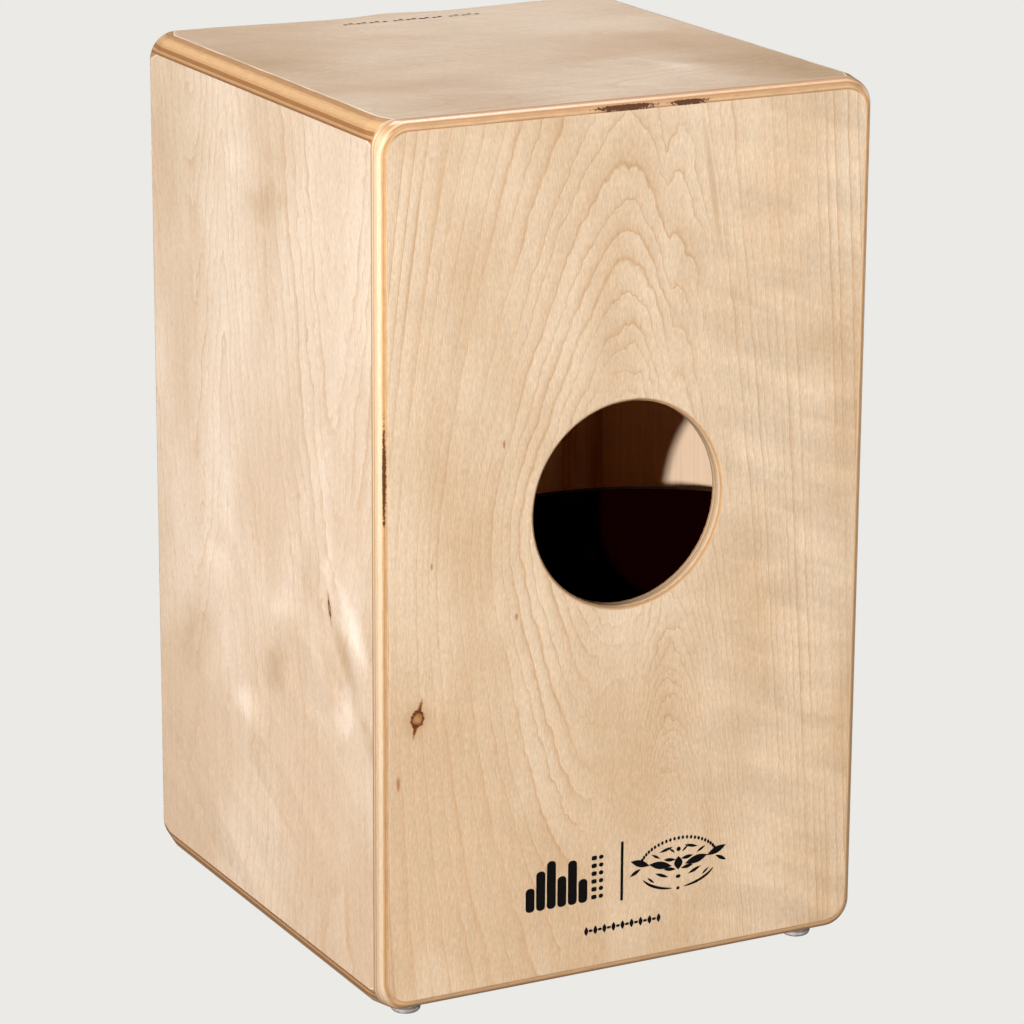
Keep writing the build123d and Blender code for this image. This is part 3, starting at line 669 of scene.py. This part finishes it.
def level_board_material(name, outer_z, down, axes, turn, seed, painted_light_patches, painted_light_tint):
    """The seat and the bottom, with the grain along X; down is 1 if depth goes downwards."""
    s = Shader(name, **LACQUER)
    place = s.vector(s.y, s.x, 0.0)
    field_per_line = 0.040
    swing = swings(s, s.y, s.x, seed, slow_size=0.070, quick_size=0.010)
    arches = arched_field(s, s.y, s.x, axes, turn, slope=5.0, roundness=0.015, merge=0.05)
    lines = s.mul(s.add(arches, swing), 1 / field_per_line)
    figure, fibre = veneer(s, lines, s.y, s.x, seed, 0.45)
    # painted shade: the colour is multiplied by a given grey; the seat's darkens it for the weaker
    # light on the top
    figure = s.mix(1.0, figure, painted_light_tint, "MULTIPLY")
    # painted sheen: faint silky lighter and darker bands
    figure = painted_curl_sheen(s, figure, s.y, s.x, seed + 5, 1.0, 0.06, slant=0.9)
    # painted sheen and painted shade: lighter and darker patches
    figure = painted_sheen_patches(s, figure, place, painted_light_patches)
    measured = s.mul(s.sub(outer_z, s.z), down)
    rounded = rounded_depth(s, s.sub(SIDE_X, s.math("ABSOLUTE", s.x)), long_edge_radius(s))
    front = rounded_depth(s, s.sub(FRONT_Y, s.y), FRONT_ROUNDOVER)
    depth = edge_depth(s, s.math("MAXIMUM", rounded, front), measured)
    # the dip in the seat's front edge keeps its veneer
    from_side = s.sub(SIDE_X, s.math("ABSOLUTE", s.x))
    on_edge = s.step(from_side, CORNER_RADIUS * 0.9, CORNER_RADIUS, 1.0, 0.0)
    near_front = s.step(s.sub(FRONT_Y, s.y), 0.004, 0.006, 1.0, 0.0)
    deep = s.step(measured, 5.0 * MM, 6.0 * MM)
    shown = s.math("MAXIMUM", s.math("MAXIMUM", on_edge, near_front), deep)
    depth = s.mul(depth, shown)
    edge = ply_colour(s, depth, SEAT_PLIES, s.y, s.x)
    return finished_board(s, figure, fibre, SEAT_PLIES, depth, measured, edge, s.y, s.x)


def tapa_material():
    s = Shader("tapa_veneer", **LACQUER)
    place = s.vector(s.x, s.z, 0.0)
    seed = 14.2
    field_per_line = 0.030
    axes = [(0.030, 0.0), (-0.085, -0.12)]
    swing = swings(s, s.x, s.z, seed, slow_size=0.030, quick_size=0.006)
    arches = arched_field(s, s.x, s.z, axes, turn=0.22, slope=4.0, roundness=0.012, merge=0.04)
    lines = s.mul(s.add(arches, swing), 1 / field_per_line)
    # painted shade: lighter at the top and darker and warmer towards the bottom, for the light that
    # falls off downwards
    painted_low_shade = s.step(s.z, 0.42, 0.04, -0.10, 0.30)
    figure, fibre = veneer(s, lines, s.x, s.z, seed, 1.0, painted_low_shade)
    # painted sheen: silky lighter and darker bands towards -X
    figure = painted_curl_sheen(s, figure, s.x, s.z, 17.0, s.step(s.x, 0.05, -0.08), 0.12)
    spots = [((0.062, 0.352), (0.001, 0.004)), ((-0.031, 0.118), (0.001, 0.003))]
    figure = flecks(s, figure, place, spots)
    measured = s.sub(FRONT_Y, s.y)
    nearest = end_panel_insets(s)[2]
    depth = edge_depth(s, rounded_depth(s, nearest, FRONT_ROUNDOVER), measured)
    edge = ply_colour(s, depth, TAPA_PLIES, s.x, s.z)
    return finished_board(s, figure, fibre, TAPA_PLIES, depth, measured, edge, s.x, s.z)


def batten_material():
    s = Shader("planed_batten", Roughness=0.62)
    rings = s.noise(s.vector(s.x, s.y, s.mul(s.z, 0.05)), 160.0, 3.0, 0.6)
    colour = s.ramp(rings, [(0.3, linear(240, 205, 160)), (0.62, linear(216, 166, 112))])
    s.use("Base Color", colour)
    s.bump(rings, 0.08 * MM)
    return s.material


# ---- other materials --------------------------------------------------------------------


def felt_material():
    s = Shader("black_felt", Roughness=0.97, Specular_IOR_Level=0.0)
    fuzz = s.noise(s.where, 1500.0, 3.0, 0.7)
    darkest = (0.004, 0.0001, 0.0001, 1.0)
    lightest = (0.006, 0.0003, 0.0003, 1.0)
    s.use("Base Color", s.ramp(fuzz, [(0.3, darkest), (0.7, lightest)]))
    s.bump(fuzz, 0.3 * MM)
    return s.material


def board_black_material():
    s = Shader("black_stained_board", Roughness=0.8, Specular_IOR_Level=0.2)
    grain = s.noise(s.vector(s.x, s.y, s.mul(s.z, 0.05)), 300.0, 3.0)
    s.use("Base Color", s.ramp(grain, [(0.3, linear(12, 8, 7)), (0.7, linear(24, 17, 15))]))
    s.bump(grain, 0.1 * MM)
    return s.material


def rubber_material():
    """Glossy grey feet, with painted reflections: darker and lighter bands by height, and a brown
    painted reflection of the wood at half height.
    """
    s = Shader("clear_grey_rubber", Roughness=0.10, IOR=1.6, Coat_Weight=1.0, Coat_Roughness=0.04)
    cloud = s.noise(s.where, 260.0, 2.0)
    grey = s.ramp(cloud, [(0.3, linear(140, 132, 128)), (0.7, linear(198, 190, 184))])
    height = s.mul(s.z, 1 / BODY_BOTTOM_Z)
    # painted reflections: lighter and darker bands by height
    rings = [
        (0.0, 0.45),
        (0.16, 0.8),
        (0.34, 1.15),
        (0.50, 0.50),
        (0.66, 1.2),
        (0.86, 0.9),
        (1.0, 0.4),
    ]
    colour = s.mix(1.0, grey, s.ramp(height, rings), "MULTIPLY")
    # painted reflection: the brown of the wood, painted at half height
    painted_light_tint = s.step(s.math("ABSOLUTE", s.sub(height, 0.5)), 0.05, 0.20, 0.45, 0.0)
    s.use("Base Color", s.mix(painted_light_tint, colour, linear(96, 66, 50)))
    s.bump(cloud, 0.05 * MM)
    return s.material


def metal_material(name, dark, light, roughness, scale, brushed):
    """Metal with fine turning or brushing marks; brushed packs them closer along (x, y, z)."""
    s = Shader(name, Metallic=1.0)
    packed = (s.mul(axis, times) for axis, times in zip((s.x, s.y, s.z), brushed))
    streaks = s.noise(s.vector(*packed), scale, 3.0)
    s.use("Base Color", s.ramp(streaks, [(0.3, linear(*dark)), (0.7, linear(*light))]))
    s.use("Roughness", s.step(streaks, 0.2, 0.8, roughness * 0.8, roughness * 1.25))
    s.bump(streaks, 0.02 * MM)
    return s.material


def ink_material():
    s = Shader("printed_ink", Roughness=0.6, Specular_IOR_Level=0.2)
    wear = s.noise(s.where, 900.0, 2.0)
    s.use("Base Color", s.ramp(wear, [(0.3, linear(9, 8, 8)), (0.8, linear(24, 21, 20))]))
    s.bump(wear, 0.01 * MM)
    return s.material


# ---- printed marks: generic figures, with no lettering ---------------------------------------


CORNER_STEPS = 4


def rounded_bar(cx, cy, width, height, radius):
    """The outline of an upright bar with rounded corners, in millimetres."""
    points = []
    quarters = ((1, 1, 0), (-1, 1, 90), (-1, -1, 180), (1, -1, 270))
    for side, end, start in quarters:
        for step in range(CORNER_STEPS + 1):
            a = math.radians(start + step * 90 / CORNER_STEPS)
            x = cx + side * (width / 2 - radius) + radius * math.cos(a)
            y = cy + end * (height / 2 - radius) + radius * math.sin(a)
            points.append((x, y))
    return points


def oval(cx, cy, rx, ry, count=16):
    """The outline of an oval with a number of corners."""
    turns = [2 * math.pi * i / count for i in range(count)]
    return [(cx + rx * math.cos(a), cy + ry * math.sin(a)) for a in turns]


def arc(cx, cy, rx, ry, start, end, thickness, count=20):
    """A band along an elliptical arc, pointed at both ends; the angles are in degrees."""
    outer, inner = [], []
    for i in range(count + 1):
        share = i / count
        a = math.radians(start + (end - start) * share)
        half = thickness / 2 * math.sin(math.pi * share) ** 0.5
        outer.append((cx + (rx + half) * math.cos(a), cy + (ry + half) * math.sin(a)))
        inner.append((cx + (rx - half) * math.cos(a), cy + (ry - half) * math.sin(a)))
    return outer + inner[-2:0:-1]


def leaf(cx, cy, length, width, angle, count=10):
    """A pointed leaf that lies along an angle in degrees."""
    along = Vector((math.cos(math.radians(angle)), math.sin(math.radians(angle))))
    across = Vector((-along.y, along.x))
    upper, lower = [], []
    for i in range(count + 1):
        share = i / count
        middle = Vector((cx, cy)) + along * length * (share - 0.5)
        half = across * width / 2 * math.sin(math.pi * share)
        upper.append(tuple(middle + half))
        lower.append(tuple(middle - half))
    return upper + lower[-2:0:-1]


def wave(x0, x1, middle, height, turns, thickness, count=120):
    """A wavy pen stroke from x0 to x1 that swells on its way down and thins towards its ends."""
    phase = 0.9
    sway = 1.6
    thinnest = 0.28
    upper, lower = [], []
    for i in range(count + 1):
        share = i / count
        a = 2 * math.pi * turns * share
        fade = math.sin(math.pi * share) ** 0.6
        x = x0 + (x1 - x0) * share + sway * math.sin(a) * fade
        y = middle + height / 2 * fade * math.sin(a + phase)
        swell = thinnest + (1.0 - thinnest) * max(0.0, -math.cos(a + phase))
        half = thickness / 2 * swell * fade
        upper.append((x, y + half))
        lower.append((x, y - half))
    return upper + lower[-2:0:-1]


def sound_bars():
    """Upright bars like a drawn sound wave, standing on one line."""
    first_x, spacing, base_z = -58.6, 6.6, 52.0
    width, rounding = 5.6, 2.3
    bars = []
    for i, height in enumerate((14.0, 23.0, 28.0, 18.0, 26.0, 14.0)):
        x = first_x + spacing * i
        bars.append(rounded_bar(x, base_z + height / 2, width, height, rounding))
    return bars


def dot_column():
    """A column of dashes and dots beside the bars."""
    dash_x, dot_x = -18.6, -14.2
    lowest_z, spacing = 54.2, 4.6
    shapes = []
    for i in range(6):
        z = lowest_z + spacing * i
        shapes.append(rounded_bar(dash_x, z, 3.4, 2.6, 0.9))
        shapes.append(oval(dot_x, z, 1.5, 1.3, count=10))
    return shapes


# on each side of the ornament's middle: (out, up, length, width, slant in degrees)
ORNAMENT_LEAVES = [
    (11.5, 0.6, 15.0, 4.6, 12),
    (24.5, 3.8, 13.0, 4.0, 20),
    (27.5, -1.2, 8.0, 2.2, -28),
    (8.0, 9.2, 9.0, 1.8, -14),
    (10.5, -5.6, 9.5, 1.9, 22),
    (17.5, -7.4, 6.0, 1.3, 40),
    (5.6, 2.9, 8.0, 2.2, 8),
    (5.6, -2.7, 8.0, 2.2, 8),
    (14.5, 6.2, 6.5, 1.5, 30),
    (4.2, 8.2, 5.0, 1.3, 40),
]


def oval_ornament():
    """Leaves round a diamond, between a dotted arc above and two pointed arcs below."""
    cx, cz = 35.0, 65.0
    half_width = 25.0
    dots, first_angle, span = 23, 22, 136
    shapes = []
    for i in range(dots):
        a = math.radians(first_angle + i * span / (dots - 1))
        x = cx + half_width * math.cos(a)
        z = cz + 15.0 * math.sin(a)
        shapes.append(oval(x, z, 0.85, 1.15, count=8))
    for start, end in ((205, 262), (278, 335)):
        shapes.append(arc(cx, cz, half_width, 14.5, start, end, thickness=1.7))
    shapes.append(oval(cx, cz - 14.8, 1.1, 1.0, count=10))
    for side in (-1, 1):
        for out, up, length, width, slant in ORNAMENT_LEAVES:
            shapes.append(leaf(cx + side * out, cz + up, length, width, side * slant))
    shapes.append(leaf(cx, cz + 0.2, 8.0, 5.4, 90))
    shapes.append(oval(cx, cz + 8.4, 1.4, 1.4, count=10))
    shapes.append(oval(cx, cz - 7.8, 1.6, 1.1, count=10))
    return shapes


def dash_row():
    """Small upright leaves in a row under the bars, with a dash between each two."""
    first_x, spacing, row_z = -23.2, 5.75, 34.5
    leaves = 9
    shapes = []
    for i in range(leaves):
        x = first_x + spacing * i
        shapes.append(leaf(x, row_z, 5.4, 2.6, 90))
        if i < leaves - 1:
            shapes.append(rounded_bar(x + 2.85, row_z, 2.4, 1.5, 0.6))
    return shapes


def seat_flourish():
    """Three rows of small slanting leaves on pen waves, in seat coordinates (x, y)."""
    leaf_step = 4.2
    row_y = 120.0
    raised = 1.8
    past_end = 2.0
    shapes = []
    for start, count in ((-39.0, 7), (-7.0, 8), (29.0, 5)):
        for i in range(count):
            shapes.append(leaf(start + leaf_step * i, row_y + raised * (i % 2), 3.9, 2.5, 30))
        end = start + leaf_step * (count - 1)
        pen_wave = wave(start - past_end, end + past_end, row_y - 1.0, 3.0, count / 2, 1.3)
        shapes.append(pen_wave)
    return shapes


INK_THICKNESS = 0.04 * MM


def printed(name, shapes, place, ink):
    """Thin ink shapes: place turns (u, v, height) in metres into a point of the shared frame."""
    made = bmesh.new()
    for outline in shapes:
        top = [made.verts.new(place(u * MM, v * MM, INK_THICKNESS)) for u, v in outline]
        low_ring = [made.verts.new(place(u * MM, v * MM, -INK_THICKNESS)) for u, v in outline]
        made.faces.new(top)
        count = len(outline)
        for i in range(count):
            after = (i + 1) % count
            made.faces.new((top[i], low_ring[i], low_ring[after], top[after]))
    bmesh.ops.triangulate(made, faces=made.faces[:])
    bmesh.ops.recalc_face_normals(made, faces=made.faces[:])
    mesh = bpy.data.meshes.new(name)
    made.to_mesh(mesh)
    made.free()
    mesh.materials.append(ink)
    piece = bpy.data.objects.new(name, mesh)
    bpy.context.scene.collection.objects.link(piece)
    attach(piece, BODY)
    return piece


def on_back(u, v, height):
    """Places ink on the back panel, with u along X and v along Z."""
    return Vector((u, BACK_Y - height, v))


def seat_surface():
    """Gives a function that places ink on the seat, which dips near its front edge."""
    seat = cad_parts["seat_panel"]
    tree = bvhtree.BVHTree.FromObject(seat, bpy.context.evaluated_depsgraph_get())

    def on_seat(u, v, height):
        above = Vector((u, v, TOP_Z + 50.0 * MM))
        hit = tree.ray_cast(above, Vector((0, 0, -1)))[0]
        return hit + Vector((0, 0, height))

    return on_seat


# ---- wound strings ---------------------------------------------------------------------------

STRING_RADIUS = 0.35 * MM
WINDING_STEP = 0.8 * MM
GROOVE_SHARE = 0.86
STRING_SIDES = 8
END_GAP = 0.05 * MM


def wound_string(node, metal):
    """A string with a visible winding, from its top anchor down to its carriage."""
    lowest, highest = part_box(node)
    outward = 1 if lowest.x + highest.x > 0 else -1
    outer_x = highest.x if outward > 0 else lowest.x
    inner_x = lowest.x if outward > 0 else highest.x
    middle_y = (lowest.y + highest.y) / 2
    top = Vector((outer_x - outward * STRING_RADIUS, middle_y, highest.z - END_GAP))
    bottom = Vector((inner_x + outward * STRING_RADIUS, middle_y, lowest.z + END_GAP))
    along = (bottom - top).normalized()
    across = along.cross(Vector((0, 1, 0))).normalized()
    level = across.cross(along).normalized()
    rings = round((bottom - top).length / WINDING_STEP)
    made = bmesh.new()
    previous = None
    for i in range(rings + 1):
        middle = top + (bottom - top) * i / rings
        radius = STRING_RADIUS * (1.0 if i % 2 else GROOVE_SHARE)
        ring = []
        for corner in range(STRING_SIDES):
            a = 2 * math.pi * corner / STRING_SIDES
            outward_here = across * math.cos(a) + level * math.sin(a)
            ring.append(made.verts.new(middle + radius * outward_here))
        if previous is None:
            made.faces.new(ring)
        else:
            for corner in range(STRING_SIDES):
                after = (corner + 1) % STRING_SIDES
                made.faces.new((previous[corner], previous[after], ring[after], ring[corner]))
        previous = ring
    made.faces.new(previous)
    bmesh.ops.recalc_face_normals(made, faces=made.faces[:])
    name = node + "_wound"
    mesh = bpy.data.meshes.new(name)
    made.to_mesh(mesh)
    made.free()
    mesh.materials.append(metal)
    mesh.shade_smooth()
    piece = bpy.data.objects.new(name, mesh)
    bpy.context.scene.collection.objects.link(piece)
    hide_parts(node)
    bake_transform(piece)
    return piece


SMOOTH_BELOW_ANGLE = math.radians(35)


def dress(names, material):
    """Gives CAD nodes a material and smooth shading on their curved faces."""
    for name in names:
        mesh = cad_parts[name].data
        mesh.materials.clear()
        mesh.materials.append(material)
        mesh.shade_smooth()
        mesh.set_sharp_from_angle(angle=SMOOTH_BELOW_ANGLE)


# ---- every piece gets its look ----------------------------------------------------------

steel = metal_material(
    "zinc_plate", (168, 166, 160), (206, 205, 200), roughness=0.32, scale=900.0, brushed=(1, 1, 8)
)
brass = metal_material(
    "turned_brass", (176, 138, 66), (214, 178, 98), roughness=0.30, scale=700.0, brushed=(1, 1, 9)
)
aluminium = metal_material(
    "milled_aluminium",
    (176, 177, 180),
    (208, 209, 212),
    roughness=0.36,
    scale=800.0,
    brushed=(9, 1, 1),
)
string_metal = metal_material(
    "string_steel",
    (150, 148, 142),
    (198, 196, 190),
    roughness=0.28,
    scale=1200.0,
    brushed=(1, 1, 30),
)
black_oxide = metal_material(
    "black_oxide", (22, 22, 23), (44, 43, 42), roughness=0.38, scale=900.0, brushed=(1, 8, 1)
)
ink = ink_material()

# painted sheen and painted shade, lighter and darker patches painted into the colour: (centre,
# size, tilt in degrees, amount), as in the patch function above
LEFT_PAINTED_LIGHT = [
    # the first patch is painted light that lifts the lower part of the side
    ((0.0, 0.190), (0.240, 0.240), 0.0, 0.13),
    ((-0.088, 0.246), (0.012, 0.024), 0.0, 0.24),
    ((-0.124, 0.214), (0.014, 0.044), -42.0, 0.34),
    ((-0.111, 0.196), (0.011, 0.040), -38.0, -0.34),
    ((-0.094, 0.190), (0.022, 0.030), -30.0, -0.14),
    ((-0.104, 0.165), (0.026, 0.017), -40.0, 0.24),
    ((-0.141, 0.158), (0.010, 0.018), -20.0, -0.24),
    ((-0.016, 0.172), (0.030, 0.022), -45.0, -0.22),
    ((0.016, 0.134), (0.030, 0.017), 0.0, 0.24),
    ((-0.030, 0.206), (0.028, 0.014), -20.0, 0.14),
    ((0.094, 0.156), (0.044, 0.020), -50.0, -0.15),
    ((0.064, 0.209), (0.034, 0.019), 0.0, 0.13),
    ((-0.058, 0.232), (0.020, 0.022), 0.0, -0.11),
    ((-0.012, 0.432), (0.048, 0.014), -12.0, -0.15),
    ((0.030, 0.450), (0.022, 0.014), 0.0, 0.10),
    ((-0.120, 0.330), (0.060, 0.200), 0.0, 0.06),
    ((0.110, 0.450), (0.080, 0.080), 0.0, -0.13),
    ((0.140, 0.230), (0.026, 0.080), 0.0, -0.08),
]
RIGHT_PAINTED_LIGHT = [
    ((0.060, 0.160), (0.045, 0.020), 30.0, 0.10),
    ((-0.040, 0.120), (0.050, 0.022), -20.0, -0.09),
    ((0.020, 0.400), (0.050, 0.020), 15.0, -0.07),
    ((-0.090, 0.330), (0.040, 0.020), 40.0, 0.08),
]
SEAT_PAINTED_LIGHT = [
    ((-0.078, 0.070), (0.022, 0.018), 0.0, 0.16),
    ((-0.062, 0.066), (0.006, 0.030), 60.0, 0.10),
    ((-0.020, 0.100), (0.050, 0.018), 0.0, -0.04),
    ((-0.030, 0.039), (0.090, 0.004), 0.0, 0.05),
    ((0.050, -0.135), (0.160, 0.070), 0.0, -0.20),
    ((-0.110, 0.125), (0.150, 0.070), 0.0, -0.26),
]
dress(["back_panel"], back_material())
left_axes = [(0.090, 0.0), (-0.095, -0.54)]
left_knots = [((-0.0885, 0.223), (0.0013, 0.0042), -14.0)]
dress(
    ["side_panel_left"],
    side_material(
        "side_veneer_left",
        -1,
        left_axes,
        turn=0.13,
        seed=4.7,
        painted_light_patches=LEFT_PAINTED_LIGHT,
        knots=left_knots,
    ),
)
right_axes = [(0.040, 0.0), (-0.085, -0.30)]
dress(
    ["side_panel_right"],
    side_material(
        "side_veneer_right", 1, right_axes, turn=0.30, seed=9.1, painted_light_patches=RIGHT_PAINTED_LIGHT, knots=[]
    ),
)
seat_axes = [(0.030, 0.0), (-0.110, -0.15)]
# painted shade: the seat is painted a little darker and greyer than the other boards, for the
# weaker light on the top
seat_painted_shade = (0.87, 0.86, 0.87, 1.0)
dress(
    ["seat_panel"],
    level_board_material(
        "seat_veneer",
        TOP_Z,
        1,
        seat_axes,
        turn=-0.02,
        seed=6.4,
        painted_light_patches=SEAT_PAINTED_LIGHT,
        painted_light_tint=seat_painted_shade,
    ),
)
bottom_axes = [(0.050, 0.0), (-0.070, -0.20)]
no_tint = (1.0, 1.0, 1.0, 1.0)
dress(
    ["bottom_panel"],
    level_board_material(
        "bottom_veneer",
        BODY_BOTTOM_Z,
        -1,
        bottom_axes,
        turn=0.05,
        seed=7.9,
        painted_light_patches=[],
        painted_light_tint=no_tint,
    ),
)
dress(["tapa"], tapa_material())
nodes = sorted(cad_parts)
wooden = [n for n in nodes if n.startswith(("front_batten", "back_cleat", "baffle_cleat"))]
wooden += ["string_anchor_left", "string_anchor_right", "tension_guide"]
dress(wooden, batten_material())
dress(["baffle_felt"], felt_material())
dress(["baffle_board"], board_black_material())
dress([n for n in nodes if n.startswith(("foot_back", "foot_front"))], rubber_material())
steel_nodes = ["foot_washers", "foot_screws", "anchor_screws_left", "anchor_screws_right"]
steel_nodes += [n for n in nodes if n.startswith(("tension_clip", "tension_screw"))]
dress(steel_nodes, steel)
dress(["tapa_screws"], black_oxide)
dress([n for n in nodes if n.startswith(("tension_bush", "ball_ends"))], brass)
dress(["tension_carriage_left", "tension_carriage_right"], aluminium)
dress([n for n in nodes if n.startswith(("string_left", "string_right"))], string_metal)

divider = [rounded_bar(-1.0, 66.5, 1.7, 35.0, 0.6)]
printed("back_marks", sound_bars() + dot_column() + divider + dash_row(), on_back, ink)
printed("back_ornament", oval_ornament(), on_back, ink)
printed("seat_flourish", seat_flourish(), seat_surface(), ink)
for side in ("left", "right"):
    for string_place in ("inner", "outer"):
        wound_string(f"string_{side}_{string_place}", string_metal)


# ---- studio ---------------------------------------------------------------------------

LIGHTS_AIM = Vector((0, 0, 0.26))


def studio():
    """A dim world, and a white floor that is seen by the camera but lights nothing."""
    world = bpy.data.worlds.new("studio")
    world.use_nodes = True
    background = world.node_tree.nodes["Background"]
    background.inputs["Color"].default_value = linear(236, 238, 240)
    background.inputs["Strength"].default_value = 0.13
    bpy.context.scene.world = world
    bpy.ops.mesh.primitive_plane_add(size=60.0, location=(0, 0, 0))
    floor = bpy.context.object
    floor.name = "studio_floor"
    material = bpy.data.materials.new("studio_floor")
    material.use_nodes = True
    tree = material.node_tree
    glow = tree.nodes.new("ShaderNodeEmission")
    glow.inputs["Color"].default_value = linear(235, 234, 230)
    glow.inputs["Strength"].default_value = 1.0
    tree.links.new(glow.outputs[0], tree.nodes["Material Output"].inputs[0])
    floor.data.materials.append(material)
    floor.visible_diffuse = False
    floor.visible_glossy = False


def light(name, direction, distance, size, watts, colour=(1, 1, 1), glossy=True):
    """A disc light that looks at the middle of the box from a direction.

    Where glossy is False, the light isn't seen in reflections.
    """
    data = bpy.data.lights.new(name, "AREA")
    data.shape = "DISK"
    data.size = size
    data.energy = watts
    data.color = colour
    lamp = bpy.data.objects.new(name, data)
    bpy.context.scene.collection.objects.link(lamp)
    away = Vector(direction).normalized()
    lamp.location = LIGHTS_AIM + away * distance
    lamp.rotation_mode = "QUATERNION"
    lamp.rotation_quaternion = away.to_track_quat("Z", "Y")
    lamp.visible_glossy = glossy


def bounce_light():
    """Stands for the warm light that the bare wood passes on inside the box."""
    data = bpy.data.lights.new("bounce_inside", "POINT")
    data.shadow_soft_size = 0.03
    data.energy = 0.02
    data.color = (1.0, 0.42, 0.12)
    lamp = bpy.data.objects.new("bounce_inside", data)
    bpy.context.scene.collection.objects.link(lamp)
    lamp.location = (0.0, 0.03, 0.41)
    lamp.visible_camera = False
    lamp.visible_glossy = False


def camera():
    """The camera stands where the photographer stood, level with the upper part of the box."""
    yaw, pitch, roll = (math.radians(a) for a in (-27.76, 16.33, 0.32))
    target = Vector((0, 0, 0.258))
    aside, raised, distance = -0.0068, 0.0226, 2.4928
    right = Vector((math.cos(yaw), math.sin(yaw), 0))
    level = Vector((-math.sin(yaw), math.cos(yaw), 0))
    up = Vector((0, 0, 1))
    forward = level * math.cos(pitch) - up * math.sin(pitch)
    raised_up = up * math.cos(pitch) + level * math.sin(pitch)
    right_rolled = right * math.cos(roll) + raised_up * math.sin(roll)
    up_rolled = raised_up * math.cos(roll) - right * math.sin(roll)
    data = bpy.data.cameras.new("camera")
    data.lens = 153.4
    data.sensor_width = 36.0
    data.clip_end = 100.0
    eye = bpy.data.objects.new("camera", data)
    bpy.context.scene.collection.objects.link(eye)
    place = target - right_rolled * aside - up_rolled * raised - forward * distance
    columns = Matrix((right_rolled, up_rolled, -forward)).transposed()
    eye.matrix_world = Matrix.Translation(place) @ columns.to_4x4()
    bpy.context.scene.camera = eye


studio()
light("key", (-0.678, -0.712, 0.248), distance=6.0, size=0.20, watts=490.0, glossy=False)
FILL_SIZE = 1.6
FILLS = [
    ("left_fill", (-1.0, 0.2, 0.45), 21.0, (0.90, 0.97, 1.10)),
    ("right_fill", (1.0, 0.25, -0.05), 56.0, (1.04, 1.0, 0.94)),
    ("front_fill", (0.15, 1.0, -0.02), 66.0, (1.02, 1.0, 0.97)),
]
for name, direction, watts, colour in FILLS:
    light(name, direction, 2.6, FILL_SIZE, watts, colour, glossy=False)
light("top_fill", (0.15, 0.25, 1.0), 2.4, FILL_SIZE, 53.0, (0.93, 0.97, 1.06))
bounce_light()
camera()
bpy.context.scene.view_settings.view_transform = "Standard"
